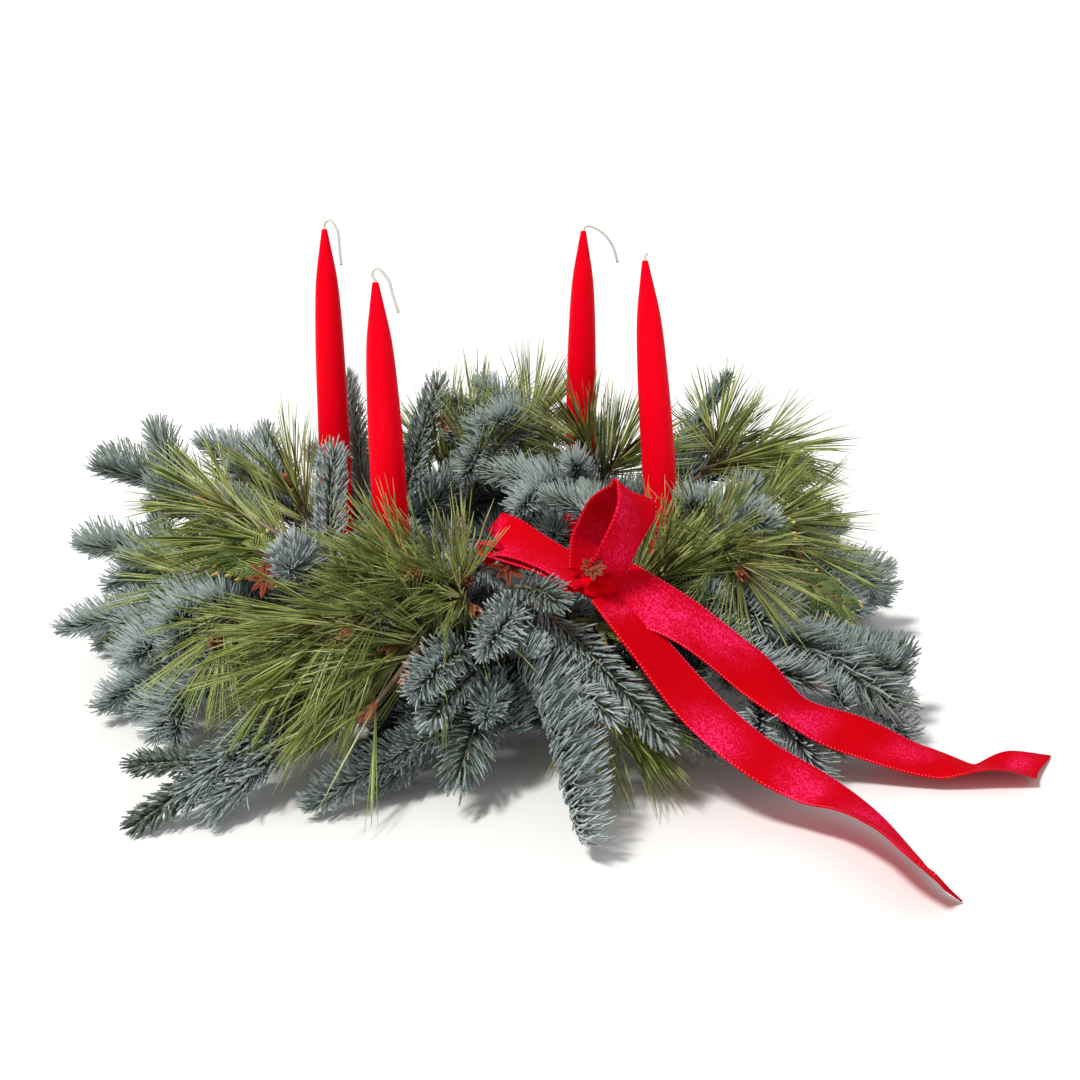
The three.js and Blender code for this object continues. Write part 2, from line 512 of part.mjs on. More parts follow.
for (const plan of SPRIGS) {
  const body = largest(trim(sprig(plan), rooms));
  piece(plan.name, geometryOf(body), foliage[plan.kind]);
  rooms.push(sprig(plan, GAP));
}

// The origin is on the table under the middle of the whole wreath.
const part = new THREE.Group();
part.add(wreath);
const box = new THREE.Box3().setFromObject(wreath, true);
wreath.position.set(-(box.min.x + box.max.x) / 2, -(box.min.y + box.max.y) / 2, -box.min.z);

export default part;
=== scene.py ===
"""A fresh evergreen wreath that lies on a table, with four dipped candles and a velvet ribbon bow.

Metres, +Z up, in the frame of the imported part. A place on the wreath is (azimuth in degrees, radius
and height in millimetres) round the middle of the wire ring, and the bow is at the front, on -Y.
Every needle, scale, seed case and stitch is a small bar that is bent along a quadratic line. The
needles grow last, because they keep clear of the candles and the ribbon.
"""

from __future__ import annotations

import logging
import math
from collections.abc import Sequence
from dataclasses import dataclass, field
from enum import Enum
from functools import cache
from typing import Any

import bmesh
import bpy
import numpy as np
from mathutils import Matrix, Vector

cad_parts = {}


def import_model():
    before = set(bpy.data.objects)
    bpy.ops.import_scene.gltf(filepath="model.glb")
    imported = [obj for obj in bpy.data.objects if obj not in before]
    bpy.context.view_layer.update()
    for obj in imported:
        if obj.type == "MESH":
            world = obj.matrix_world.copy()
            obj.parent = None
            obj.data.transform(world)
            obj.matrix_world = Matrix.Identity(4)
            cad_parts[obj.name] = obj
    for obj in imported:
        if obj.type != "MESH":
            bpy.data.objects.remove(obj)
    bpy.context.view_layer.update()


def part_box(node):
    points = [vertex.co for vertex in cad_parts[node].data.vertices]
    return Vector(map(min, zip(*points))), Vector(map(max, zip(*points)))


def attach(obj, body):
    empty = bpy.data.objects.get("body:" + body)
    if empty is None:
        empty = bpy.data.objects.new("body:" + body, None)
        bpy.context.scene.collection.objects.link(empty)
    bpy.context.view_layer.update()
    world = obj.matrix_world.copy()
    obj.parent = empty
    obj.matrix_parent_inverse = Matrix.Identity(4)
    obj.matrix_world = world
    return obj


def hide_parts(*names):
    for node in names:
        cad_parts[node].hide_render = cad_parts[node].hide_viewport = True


log = logging.getLogger("wreath")
Array = np.ndarray
Colour = tuple[float, float, float]
Place = tuple[float, float, float]
Side = tuple[Place | float, Place, float, float] | tuple[Place | float, Place, float, float, float]

MM = 0.001
UP = np.array((0.0, 0.0, 1.0))
GOLDEN_ANGLE = math.radians(137.508)
SHADE_MAP = "OFBake"
UNDER_BAND = 0.4  # how much higher on the shade map a needle's lower faces lie than its upper ones
# The name of the painted sheen that each ribbon point carries, read by the velvet.
SHEEN_PATCH = "crush"
BODY = "root"
RING_RADIUS = 127.0
RING_HEIGHT = 20.0
RING_WIRE = 1.8
FIRST_CANDLE = 151.8


class Kind(Enum):
    """The greenery that a sprig is cut from."""

    FIR = "fir_needles"
    PINE = "pine_needles"
    CEDAR = "cedar_fronds"


class Zone(Enum):
    """The bands of the shade map, as (lowest v, height)."""

    NEEDLE = (0.02, 0.38)
    WOOD = (0.82, 0.06)
    BUD = (0.92, 0.06)


@dataclass(frozen=True)
class Sprig:
    """One cut sprig.

    stem is (from, to, lift, girth). Each side twig is (share of the stem or place where it leaves, to,
    lift, girth), and may end in how much darker it is than the stem: painted shade on the twigs that fill
    gaps, and the greener own tone of some comb tips. A lift raises the middle of a twig over its straight
    line. combs are the twigs, from 0 for the stem, whose needles stand in two ranks, and facing is the side
    that their flat face looks to. lay is the way in which the other needles curve, and swept is how far they
    all follow it. shade runs from 0, dark, to 1, pale. A forked sprig carries shoots on its longer twigs, and
    has the simpler needles.
    """

    name: str
    kind: Kind
    stem: tuple[Place, Place, float, float]
    sides: tuple[Side, ...]
    combs: tuple[int, ...] = ()
    lay: Place = (0.0, 0.0, 0.25)
    swept: float = 0.35
    facing: Place = (0.0, -0.6, 0.8)
    shade: float = 0.5
    forked: bool = True


# The fir tips that lie on top, and the way from them that the pine needles leave open.
HEADS = ((231, 194, 118), (267.5, 222, 92), (256.6, 218, 66), (270, 180, 112))
HEAD_SIGHT = (0, -34, 34)
# Where shoots leave a fir twig, as (share of the twig, side), and the short twigs that are bound along the
# ring beside each fir stem, as (degrees to one side, radius, height).
SHOOTS = ((0.3, 1), (0.42, -1), (0.58, 1), (0.7, -1))
BED = ((-9, 142, 36), (9, 116, 42), (11, 132, 66), (-12, 150, 18))
CANDLES = {
    # name: (azimuth, length, lean of the tip to the right and back, wick points from the tip up)
    "back_left": (151.8, 254, (-2.4, 11.6),
                  ((0, 0, 0), (0.5, 0, 4), (4, -1, 6), (8.5, -2, 0), (9.6, -2, -12), (10.4, -2, -24))),
    "front_left": (241.8, 254, (-7.6, -10.4),
                   ((0, 0, 0), (-1.5, 0, 5), (1.5, -1, 8), (7, -1, 2), (9.5, -1, -8), (12, -1, -18))),
    "back_right": (61.8, 248, (0.6, -12.6),
                   ((0, 0, 0), (2, 0, 3), (8, 0, 2), (16, -1, -4), (21, -1, -12), (24, -1, -22))),
    "front_right": (331.8, 254, (-21.6, 8.4), ((0, 0, 0), (0.3, 0, 2.5), (1.6, 0, 4.5))),
}
PODS = {
    # name: (place, tilt about x and y, reach of the longest case)
    "star_pod_left": ((228.9, 204, 112), (50, -25), 13),
    "star_pod_front": ((272.0, 170, 123), (40, 0), 13),
    "star_pod_bow": ((284.8, 204, 132), (50, 0), 7),
    "star_pod_back": ((107.1, 121, 131), (30, 20), 13),
}
# Ribbon stops: (place, direction across the ribbon), in millimetres about the middle of the ring.
TAIL_FRONT = (
    ((61.8, -187.5, 112.5), (-0.52, -0.85, 0.1)), ((81.9, -205.7, 90.7), (-0.54, -0.84, 0.07)),
    ((111, -225.1, 59.4), (-0.61, -0.8, -0.02)), ((141.7, -240.6, 36.9), (-0.59, -0.81, -0.02)),
    ((167.4, -249.9, 24.9), (-0.51, -0.86, -0.02)), ((187, -265.8, 19.9), (-0.53, -0.81, 0.26)),
    ((203, -297.5, 18), (-0.63, -0.51, 0.59)), ((212.5, -329, 17.5), (-0.66, -0.26, 0.71)),
    ((222, -342.5, 15), (-0.6, -0.36, 0.71)),
)
TAIL_RIGHT = (
    ((64, -179.5, 116), (0, -0.66, -0.75)), ((103.7, -178, 94.4), (-0.05, -0.86, -0.5)),
    ((142.8, -181.7, 63.7), (-0.06, -0.86, -0.51)), ((176.2, -192.2, 38), (0.09, -0.96, -0.28)),
    ((209.9, -192.5, 24.5), (0.09, -0.94, -0.33)), ((250.9, -194.6, 9.5), (0.06, -1, -0.05)),
    ((280.2, -198, 8.2), (0.32, -0.88, 0.36)), ((306.1, -192.2, 6.2), (0.24, -0.97, 0)),
    ((329.6, -189.5, 1.6), (0.21, -0.98, 0)),
)
LOOP_LEFT = (
    ((52, -182, 118.5), (-0.3, -0.9, 0)), ((30, -168, 128), (-0.15, -0.97, -0.06)),
    ((8, -151.5, 132.5), (0.12, -0.95, -0.16)), ((-1, -144.5, 131), (0.25, -0.93, -0.2)),
    ((8, -151.5, 129.5), (0.12, -0.95, -0.16)), ((29, -168, 125), (-0.15, -0.97, -0.06)),
    ((50, -182, 115.5), (-0.3, -0.9, 0)),
)
LOOP_UPPER = (
    ((58, -184, 121), (0.7, 0.6, -0.1)), ((68, -184, 141), (0.65, 0.75, -0.2)),
    ((77, -176, 160), (0.6, 0.74, -0.3)), ((76, -166, 166), (0.5, 0.72, -0.45)),
    ((64, -160, 160), (0.6, 0.74, -0.3)), ((55, -164, 141), (0.65, 0.75, -0.2)),
    ((54, -180, 121), (0.7, 0.6, -0.1)),
)
# Painted sheen on each ribbon: (share of the run, place across from -1 to 1, reach along, strength).
SHEEN_PATCHES = {
    "bow_loop_left": ((0.5, 0.0, 0.05, 0.8), (0.12, 0.9, 0.1, 0.35), (0.3, 0.9, 0.14, 0.3),
                      (0.7, 0.9, 0.2, 0.3)),
    "bow_loop_upper": ((0.14, 0.3, 0.1, 0.7), (0.3, -0.6, 0.1, 0.5), (0.62, 0.2, 0.08, 0.5),
                       (0.85, 0.0, 0.12, 0.5)),
    "bow_tail_front": ((0.04, 0.0, 0.03, 0.6), (0.3, 0.5, 0.055, 1.3), (0.5, 0.2, 0.07, 1.2),
                       (0.66, -0.4, 0.05, 0.6), (0.86, 0.5, 0.05, 0.6)),
    "bow_tail_right": ((0.1, 0.2, 0.07, 1.3), (0.2, -0.5, 0.06, 0.9), (0.42, 0.3, 0.05, 1.0),
                       (0.62, -0.3, 0.05, 0.6), (0.92, 0.0, 0.05, 0.7)),
}

SPRIGS = (
    Sprig("fir_front_centre", Kind.FIR, ((275, 160, 56), (278.6, 297, 8), 40, 25),
          (((280.5, 226, 72), (285, 250, 58), 3, 11), ((272, 150, 60), (276, 210, 84), 8, 12),
           (0.0, (262, 88, 62), 26, 14), (0.0, (282, 90, 58), 22, 14),
           ((268, 134, 36), (273, 190, 28), 6, 17), ((282, 130, 44), (283, 216, 66), 18, 16)),
          combs=(1,), lay=(0.3, 0, 0.62), swept=0.72, shade=0.66, forked=False),
    Sprig("fir_front_long", Kind.FIR, ((276.5, 173, 104), (291, 258, 45), 8, 13),
          (((272, 172, 112), (279.5, 216, 116), 8, 13), ((288, 200, 60), (300, 250, 24), 6, 14),
           ((272, 140, 76), (277, 180, 96), 10, 14), ((280, 126, 50), (286.5, 170, 92), 16, 15),
           ((290, 126, 50), (293, 172, 84), 12, 15)),
          combs=(0, 1), facing=(0.1, -0.75, 0.65), shade=0.42, forked=False),
    Sprig("fir_front_round", Kind.FIR, ((275, 168, 100), (267.5, 218, 88), 6, 16),
          (((265, 186, 84), (258, 234, 68), 6, 17), ((266, 190, 70), (260, 234, 52), 4, 12),
           ((268, 132, 74), (272, 186, 86), 6, 15), ((256, 132, 44), (250.5, 180, 80), 10, 17)),
          combs=(2,), facing=(-0.3, -0.8, 0.5), lay=(0.1, 0, 0.2), shade=0.66, forked=False),
    Sprig("fir_front_curled", Kind.FIR, ((270, 160, 44), (264.3, 242, 20), 22, 19),
          (((256, 134, 36), (256, 204, 34), 8, 18), (0.3, (252, 230, 7), 5, 15),
           (0.4, (246, 262, 8), 4, 14), (0.1, (268, 226, 52), 10, 14)),
          combs=(0,), facing=(0.15, -0.85, 0.5), shade=0.44, forked=False),
    Sprig("fir_left_ground", Kind.FIR, ((246, 134, 35), (234.6, 300, 14), 40, 28),
          ((0.86, (231.4, 322, 4), 0, 12, 0.4), (0.82, (226.5, 300, 26), 0, 11, 0.35),
           (0.04, (240, 88, 54), 24, 14), ((246, 134, 30), (241, 226, 26), 10, 18, 0.4),
           ((250, 138, 30), (249, 228, 14), 6, 17, 0.35), ((246, 136, 28), (237.4, 296, 8), 34, 28)),
          combs=(1, 2), lay=(0, 0, 0.08), swept=0.8, shade=0.56, forked=False),
    Sprig("pine_front_left", Kind.PINE, ((256, 140, 80), (246, 217, 95), 25, 26),
          (((244, 134, 66), (243, 186, 102), 14, 20), (0.6, (238, 244, 70), 8, 24),
           (0.5, (234, 228, 88), 8, 22))),
    Sprig("pine_front_droop", Kind.PINE, ((262, 140, 62), (256, 226, 74), 35, 24),
          ((0.5, (244, 230, 64), 0, 22), (0.3, (251, 208, 82), 6, 22), (0.7, (251, 236, 52), 0, 20))),
    Sprig("fir_left_inner", Kind.FIR, ((222, 148, 96), (234, 206, 122), 6, 19),
          (((244, 150, 90), (250, 200, 92), 6, 13), (0.0, (236, 132, 70), 8, 12)), shade=0.78, forked=False),
    Sprig("pine_left_high", Kind.PINE, ((226, 140, 92), (206, 183, 116), 20, 24),
          ((0.5, (188, 195, 124), 8, 24),)),
    Sprig("pine_left_middle", Kind.PINE, ((222, 140, 60), (200, 213, 82), 20, 24),
          ((0.4, (226, 236, 78), 8, 22),)),
    Sprig("fir_left_low", Kind.FIR, ((214, 134, 40), (210, 236, 76), 25, 19),
          ((0.4, (207, 262, 46), 5, 19), (0.35, (190, 274, 42), 8, 16), (0.4, (201, 262, 4), 0, 17),
           (0.4, (218, 262, 12), 4, 18), (0.04, (214, 86, 58), 26, 17)), shade=0.4),
    Sprig("fir_left_point", Kind.FIR, ((196, 133, 30), (171.5, 293, 64), 36, 16),
          ((0.55, (181, 262, 50), 5, 16), (0.5, (178, 272, 4), 0, 17), (0.04, (194, 86, 62), 24, 17)),
          shade=0.3),
    Sprig("fir_left_high", Kind.FIR, ((179, 131, 24), (162.7, 291, 112), 44, 17),
          ((0.6, (161.8, 252, 138), 8, 16), (0.5, (170, 244, 92), 0, 15), (0.35, (164, 270, 6), 12, 18),
           (0.2, (176, 178, 108), 10, 17), (0.03, (174, 88, 64), 20, 16)), shade=0.24),
    Sprig("fir_back_left", Kind.FIR, ((154, 140, 50), (150.8, 227, 116), 20, 17),
          ((0.5, (144, 208, 122), 8, 15), (0.4, (141, 268, 50), 20, 18), (0.3, (152, 266, 9), 14, 18),
           (0.04, (152, 88, 58), 20, 16)), shade=0.42),
    Sprig("pine_back_left", Kind.PINE, ((166, 124, 60), (158, 158, 112), 5, 20),
          ((0.3, (154, 210, 84), 10, 20),)),
    Sprig("fir_back_upright", Kind.FIR, ((142, 112, 50), (135.4, 150, 170), 10, 10),
          (((206, 122, 40), (168, 112, 138), 26, 14), (0.15, (136, 190, 104), 12, 14),
           ((128, 120, 44), (112, 78, 92), 18, 17, 0.55), ((144, 118, 44), (142, 88, 84), 16, 17, 0.25),
           ((128, 118, 44), (75.4, 124, 130), 36, 15), ((126, 122, 60), (107.5, 136, 160), 8, 13)),
          combs=(1, 5, 6), shade=0.6, forked=False),
    Sprig("pine_front_candle", Kind.PINE, ((260, 134, 80), (254, 167, 120), 12, 24),
          ((0.4, (247, 178, 112), 5, 20), (0.3, (267, 200, 108), 10, 18),
           ((256, 142, 90), (244, 164, 124), 8, 20), ((262, 142, 90), (264, 166, 118), 8, 20),
           ((252, 140, 70), (250, 186, 100), 14, 20))),
    Sprig("fir_front_inner", Kind.FIR, ((246, 112, 70), (273, 160, 106), 40, 16),
          (((240, 114, 60), (256, 96, 116), 16, 15), ((230, 112, 60), (232, 92, 112), 16, 15),
           ((256, 120, 70), (262, 134, 112), 6, 14), ((252, 118, 60), (268, 108, 84), 8, 16, 0.3),
           ((254, 128, 40), (266, 126, 66), 6, 16, 0.3), ((256, 130, 28), (266, 122, 50), 4, 16, 0.3)),
          shade=0.66, forked=False),
    Sprig("fir_back_inner", Kind.FIR, ((72, 148, 78), (108, 95, 78), 110, 18),
          ((0.35, (107, 150, 140), 4, 11),), combs=(1,), shade=0.38),
    Sprig("fir_centre_inner", Kind.FIR, ((42, 131, 24), (78, 46, 82), 88, 18),
          ((0.5, (98, 70, 108), 4, 15),), combs=(1,), shade=0.4),
    Sprig("fir_bow_inner", Kind.FIR, ((336, 112, 60), (355, 48, 104), 30, 16), (), shade=0.38),
    Sprig("pine_back_centre", Kind.PINE, ((112, 130, 60), (104, 134, 118), 5, 24),
          ((0.5, (88, 150, 122), 10, 24), (0.3, (124, 156, 100), 5, 22),
           ((102, 128, 80), (94, 136, 134), 6, 20), ((86, 130, 80), (78, 140, 136), 6, 20),
           ((100, 118, 70), (96, 104, 116), 6, 20)), shade=0.42),
    Sprig("pine_back_candle", Kind.PINE, ((46, 116, 80), (52, 96, 138), 5, 18),
          ((0.3, (40, 126, 126), 8, 20),), shade=0.42),
    Sprig("pine_right_inner", Kind.PINE, ((342, 142, 78), (325.5, 160, 116), 12, 20),
          ((0.5, (317, 200, 104), 12, 22), ((302, 130, 64), (308, 148, 104), 8, 20),
           ((312, 132, 64), (318, 152, 108), 8, 20), ((306, 134, 64), (312, 146, 98), 6, 18)), shade=0.42),
    Sprig("fir_right_inner", Kind.FIR, ((14, 150, 60), (326, 172, 104), 50, 18),
          ((0.2, (12, 182, 104), 10, 17),), shade=0.4),
    Sprig("fir_right_point", Kind.FIR, ((12, 134, 24), (0.9, 270, 38), 44, 18),
          ((0.5, (350, 242, 40), 5, 15), (0.4, (12, 272, 5), 8, 18), (0.35, (20, 258, 54), 12, 17),
           (0.03, (14, 88, 60), 24, 17))),
    Sprig("pine_right", Kind.PINE, ((356, 134, 60), (2.7, 200, 96), 24, 22),
          ((0.6, (350, 206, 76), 8, 20), (0.4, (14, 206, 84), 10, 20)), shade=0.38),
    Sprig("fir_right_low", Kind.FIR, ((332, 136, 38), (326.8, 297, 5), 40, 19),
          ((0.4, (331, 285, 40), 10, 16, 0.2), (0.4, (342, 274, 7), 6, 17), (0.04, (330, 88, 56), 22, 16),
           ((322, 150, 54), (326.6, 290, 24), 34, 21)),
          combs=(4,), facing=(0.1, -1, 0.35), lay=(-0.1, 0, 0.5), swept=0.55),
    Sprig("fir_right_under", Kind.FIR, ((312, 134, 56), (325, 214, 56), 45, 18),
          ((0.2, (311, 284, 4), 30, 19), (0.04, (306, 88, 60), 22, 17),
           ((300, 132, 50), (292, 176, 74), 8, 15, 0.3), ((304, 134, 40), (292, 160, 62), 6, 17, 0.3))),
    Sprig("cedar_right", Kind.CEDAR, ((318, 150, 78), (340, 242, 58), 40, 12),
          (((300, 140, 70), (287, 184, 90), 6, 9), (0.45, (342, 178, 112), 5, 9),
           (0.6, (333, 234, 46), 4, 10))),
    Sprig("pine_back_right", Kind.PINE, ((32, 138, 78), (30, 245, 112), 30, 20),
          ((0.4, (41, 222, 124), 8, 20), (0.3, (26, 196, 112), 8, 20), (0.4, (22, 226, 84), 8, 20)),
          shade=0.34),
    Sprig("fir_back_right", Kind.FIR, ((48, 134, 24), (42, 233, 156), 12, 7),
          ((0.35, (31, 274, 76), 30, 18), (0.7, (45, 238, 142), 0, 6), (0.15, (40, 274, 9), 30, 18),
           (0.05, (34, 88, 56), 8, 14), ((50, 150, 50), (49, 252, 92), 24, 15)), shade=0.2),
    Sprig("pine_front_under", Kind.PINE, ((284, 136, 42), (287, 208, 36), 16, 20),
          ((0.5, (294, 216, 34), 5, 18),)),
    Sprig("cedar_left", Kind.CEDAR, ((236, 160, 84), (209, 198, 112), 20, 8),
          ((0.5, (200, 176, 114), 6, 8),)),
    Sprig("fir_rear_right", Kind.FIR, ((70, 131, 24), (62, 285, 4), 60, 20),
          ((0.45, (52, 268, 54), 10, 18), (0.4, (72, 262, 40), 8, 18), (0.25, (66, 196, 108), 10, 17),
           (0.03, (64, 90, 54), 20, 16), ((84, 120, 46), (68, 122, 66), 6, 16, 0.3))),
    Sprig("fir_rear", Kind.FIR, ((89, 131, 24), (90, 285, 4), 62, 20),
          ((0.45, (82, 264, 64), 10, 18), (0.45, (100, 265, 40), 8, 18), (0.3, (80, 206, 104), 8, 17),
           (0.03, (94, 86, 44), 22, 16), ((100, 130, 40), (113, 124, 60), 6, 18, 0.3),
           ((113, 122, 30), (98, 128, 74), 8, 18, 0.3), ((90, 140, 40), (104, 146, 58), 6, 18, 0.3))),
    Sprig("fir_rear_left", Kind.FIR, ((124, 131, 24), (120, 285, 4), 60, 20),
          ((0.45, (111, 264, 60), 10, 18), (0.4, (130, 268, 38), 8, 18),
           (0.28, (124, 206, 106), 10, 17), (0.03, (126, 86, 42), 20, 16))),
    Sprig("pine_rear", Kind.PINE, ((104, 136, 44), (100, 214, 96), 40, 22),
          ((0.5, (114, 216, 88), 8, 20),)),
)


def unit(rows: Array) -> Array:
    """Vectors of length 1.

    Args:
        rows: One vector, or one in each row.

    Returns:
        The same vectors, each of length 1.
    """
    return rows / np.maximum(np.linalg.norm(rows, axis=-1, keepdims=True), 1e-12)


def linear(colour: Colour) -> tuple[float, float, float, float]:
    """A picture colour, 0 to 255, as the linear colour that a shader takes."""
    share = [c / 255 for c in colour]
    return (*(c / 12.92 if c <= 0.04045 else ((c + 0.055) / 1.055) ** 2.4 for c in share), 1.0)


# ---------------------------------------------------------------- shader maths
class Sock:
    """A node's output that takes part in sums."""

    def __init__(self, nodes: Nodes, out: bpy.types.NodeSocket) -> None:
        """Keeps the output and the node set that it belongs to."""
        self.nodes, self.out = nodes, out

    def __add__(self, other: Sock | float) -> Sock:
        """self + other."""
        return self.nodes.math("ADD", self, other)

    def __sub__(self, other: Sock | float) -> Sock:
        """self - other."""
        return self.nodes.math("SUBTRACT", self, other)

    def __rsub__(self, other: float) -> Sock:
        """other - self."""
        return self.nodes.math("SUBTRACT", other, self)

    def __mul__(self, other: Sock | float) -> Sock:
        """self * other."""
        return self.nodes.math("MULTIPLY", self, other)

    def __gt__(self, other: Sock | float) -> Sock:
        """1 where self is over other."""
        return self.nodes.math("GREATER_THAN", self, other)

    __radd__, __rmul__ = __add__, __mul__


class Nodes:
    """One material and the nodes in it."""

    def __init__(self, name: str) -> None:
        """Makes an empty material of that name."""
        self.material = bpy.data.materials.new(name)
        self.material.use_nodes = True
        self.tree = self.material.node_tree
        self.tree.nodes.clear()

    def add(self, kind: str, settings: dict[str, Any] | None = None,
            values: dict[str | int, Any] | None = None) -> bpy.types.Node:
        """Adds a node.

        Args:
            kind: The node's type.
            settings: Its properties, and a ramp's stops as (place, colour) pairs.
            values: A number, colour or link for each named socket.

        Returns:
            The node.
        """
        node = self.tree.nodes.new(kind)
        for name, value in (settings or {}).items():
            if name == "stops":
                ramp = node.color_ramp.elements
                for _ in value[2:]:
                    ramp.new(0.5)
                for stop, (place, colour) in zip(ramp, value):
                    stop.position, stop.color = place, linear(colour)
            else:
                setattr(node, name, value)
        for key, value in (values or {}).items():
            if isinstance(value, Sock):
                self.tree.links.new(value.out, node.inputs[key])
            else:
                node.inputs[key].default_value = value
        return node

    def math(self, operation: str, a: Sock | float, b: Sock | float = 0.0) -> Sock:
        """A Math node's result."""
        return Sock(self, self.add("ShaderNodeMath", {"operation": operation}, {0: a, 1: b}).outputs[0])

    def raised(self, value: Sock) -> Sock:
        """The value, or 0 where it is under 0."""
        return self.math("MAXIMUM", value, 0.0)

    def capped(self, value: Sock) -> Sock:
        """The value, or 1 where it is over 1."""
        return self.math("MINIMUM", value, 1.0)

    def ramp(self, share: Sock, *stops: tuple[float, Colour]) -> Sock:
        """The colour at a share along the stops."""
        return Sock(self, self.add("ShaderNodeValToRGB", {"stops": stops}, {0: share}).outputs[0])

    def mix(self, share: Sock, a: Sock | Colour, b: Sock | Colour) -> Sock:
        """Mixes two colours.

        Args:
            share: How far the mix is from a to b.
            a: The colour at share 0.
            b: The colour at share 1.

        Returns:
            The mixed colour.
        """
        a, b = (linear(c) if isinstance(c, tuple) else c for c in (a, b))
        return Sock(self, self.add("ShaderNodeMix", {"data_type": "RGBA"}, {0: share, 6: a, 7: b}).outputs[2])

    def place(self) -> Sock:
        """The place on the piece, in metres."""
        return Sock(self, self.add("ShaderNodeTexCoord").outputs["Object"])

    def attribute(self, name: str) -> Sock:
        """A number that each point of the mesh carries."""
        return Sock(self, self.add("ShaderNodeAttribute", {"attribute_name": name}).outputs["Fac"])

    def map(self, name: str) -> tuple[Sock, Sock]:
        """Reads a piece's own UV map.

        Args:
            name: The map's name.

        Returns:
            Its two coordinates.
        """
        uv = Sock(self, self.add("ShaderNodeUVMap", {"uv_map": name}).outputs[0])
        parts = self.add("ShaderNodeSeparateXYZ", values={0: uv})
        return Sock(self, parts.outputs[0]), Sock(self, parts.outputs[1])

    def noise(self, at: Sock, scale: float, detail: float = 2.0, roughness: float = 0.5) -> Sock:
        """Soft noise from 0 to 1."""
        values = {"Vector": at, "Scale": scale, "Detail": detail, "Roughness": roughness}
        return Sock(self, self.add("ShaderNodeTexNoise", values=values).outputs[0])

    def bump(self, height: Sock, strength: float, depth: float) -> Sock:
        """A normal that follows a height, depth metres from 0 to 1."""
        values = {"Height": height, "Strength": strength, "Distance": depth}
        return Sock(self, self.add("ShaderNodeBump", values=values).outputs[0])

    def finish(self, values: dict[str, Any]) -> bpy.types.Material:
        """Ends the material in a Principled surface.

        Args:
            values: A number, colour or link for each named socket of the surface.

        Returns:
            The material.
        """
        surface = self.add("ShaderNodeBsdfPrincipled", values=values)
        end = self.add("ShaderNodeOutputMaterial")
        self.tree.links.new(surface.outputs[0], end.inputs[0])
        return self.material


# ---------------------------------------------------------------- finishes
@dataclass(frozen=True)
class NeedleFinish:
    """Greenery, from the shade map: u is each needle's own shade, v runs from root to tip.

    shades run from the darkest needle to the palest. A needle is tinted by under on its lower faces, and
    by root towards its root: on fir that is painted shade deep among the needles, on pine the tan of the
    bundle sheaths. Over the last bit of its tip it takes root too: painted shade that dulls the highlight
    on fir tips, and a browner tip on pine. bark and bud go from dark to pale.
    """

    name: str
    shades: tuple[Colour, ...]
    under: Colour
    root: Colour
    bark: tuple[Colour, Colour]
    bud: tuple[Colour, Colour]
    roughness: float = 0.5
    under_share: float = 0.4
    root_share: float = 0.8
    root_power: float = 2.0
    tip_share: float = 0.5
    tip_power: float = 16.0
    band_gap: float = 0.01

    def make(self) -> bpy.types.Material:
        """Makes the material.

        Returns:
            The material.
        """
        n = Nodes(self.name)
        u, v = n.map(SHADE_MAP)
        beneath = v > UNDER_BAND + self.band_gap
        reach = v * (1 / UNDER_BAND) - beneath
        steps = len(self.shades) - 1
        needle = n.ramp(u, *((i / steps, shade) for i, shade in enumerate(self.shades)))
        needle = n.mix(beneath * self.under_share, needle, self.under)
        # Towards the foot: painted shade deep among the fir needles, and the tan of the bundle sheaths on
        # pine.
        needle = n.mix(n.math("POWER", 1 - reach, self.root_power) * self.root_share, needle, self.root)
        # Over the last bit of the tip: painted shade that dulls the fir tips' highlight, and a browner pine
        # tip.
        needle = n.mix(n.math("POWER", reach, self.tip_power) * self.tip_share, needle, self.root)
        twig = n.mix(v > Zone.WOOD.value[0] - self.band_gap, needle, n.mix(u, *self.bark))
        colour = n.mix(v > Zone.BUD.value[0] - self.band_gap, twig, n.mix(u, *self.bud))
        return n.finish({"Base Color": colour, "Roughness": self.roughness})


@dataclass(frozen=True)
class VelvetFinish:
    """Velvet: deep red with random brighter clouds, and painted sheen: brighter, pinker patches with sparks
    of painted glint where the ribbon carries its painted sheen patches.
    """

    name: str
    red: Colour = (200, 0, 13)
    bright: Colour = (214, 0, 34)
    # The pink of the painted sheen.
    sheen_pink: Colour = (255, 50, 118)
    sheen: Colour = (255, 0, 90)
    cloud_scale: float = 70.0
    fleck_scale: float = 620.0
    bright_share: float = 0.75
    bright_from: float = 0.55
    # Sparks of painted glint inside the painted sheen.
    spark_from: float = 0.47
    spark_gain: float = 7.0
    pile_depth: float = 0.6 * MM

    def make(self) -> bpy.types.Material:
        """Makes the material.

        Returns:
            The material.
        """
        n = Nodes(self.name)
        at = n.place()
        cloud = n.noise(at, self.cloud_scale, 4.0, 0.6)
        fleck = n.noise(at, self.fleck_scale, 2.0, 0.7)
        # Painted sheen: the ribbon's sheen patches, broken up by the cloud.
        sheen_mask = n.capped(n.raised(n.attribute(SHEEN_PATCH) * (cloud * 3.0 - 0.5)))
        # Sparks of painted glint.
        spark = n.raised((fleck - self.spark_from) * self.spark_gain)
        # Brighter red: the painted sheen, with random clouds of its own.
        bright = n.capped(sheen_mask * self.bright_share + n.raised((cloud - self.bright_from) * 2.0))
        colour = n.mix(bright, self.red, self.bright)
        # The pinker painted sheen, flecked with painted glints.
        colour = n.mix(n.capped(sheen_mask * (spark + 0.1)), colour, self.sheen_pink)
        return n.finish({
            "Base Color": colour, "Roughness": 0.8, "Normal": n.bump(fleck, 0.35, self.pile_depth),
            "Specular IOR Level": 0.02, "Sheen Weight": 0.25, "Sheen Roughness": 0.35,
            "Sheen Tint": linear(self.sheen)})


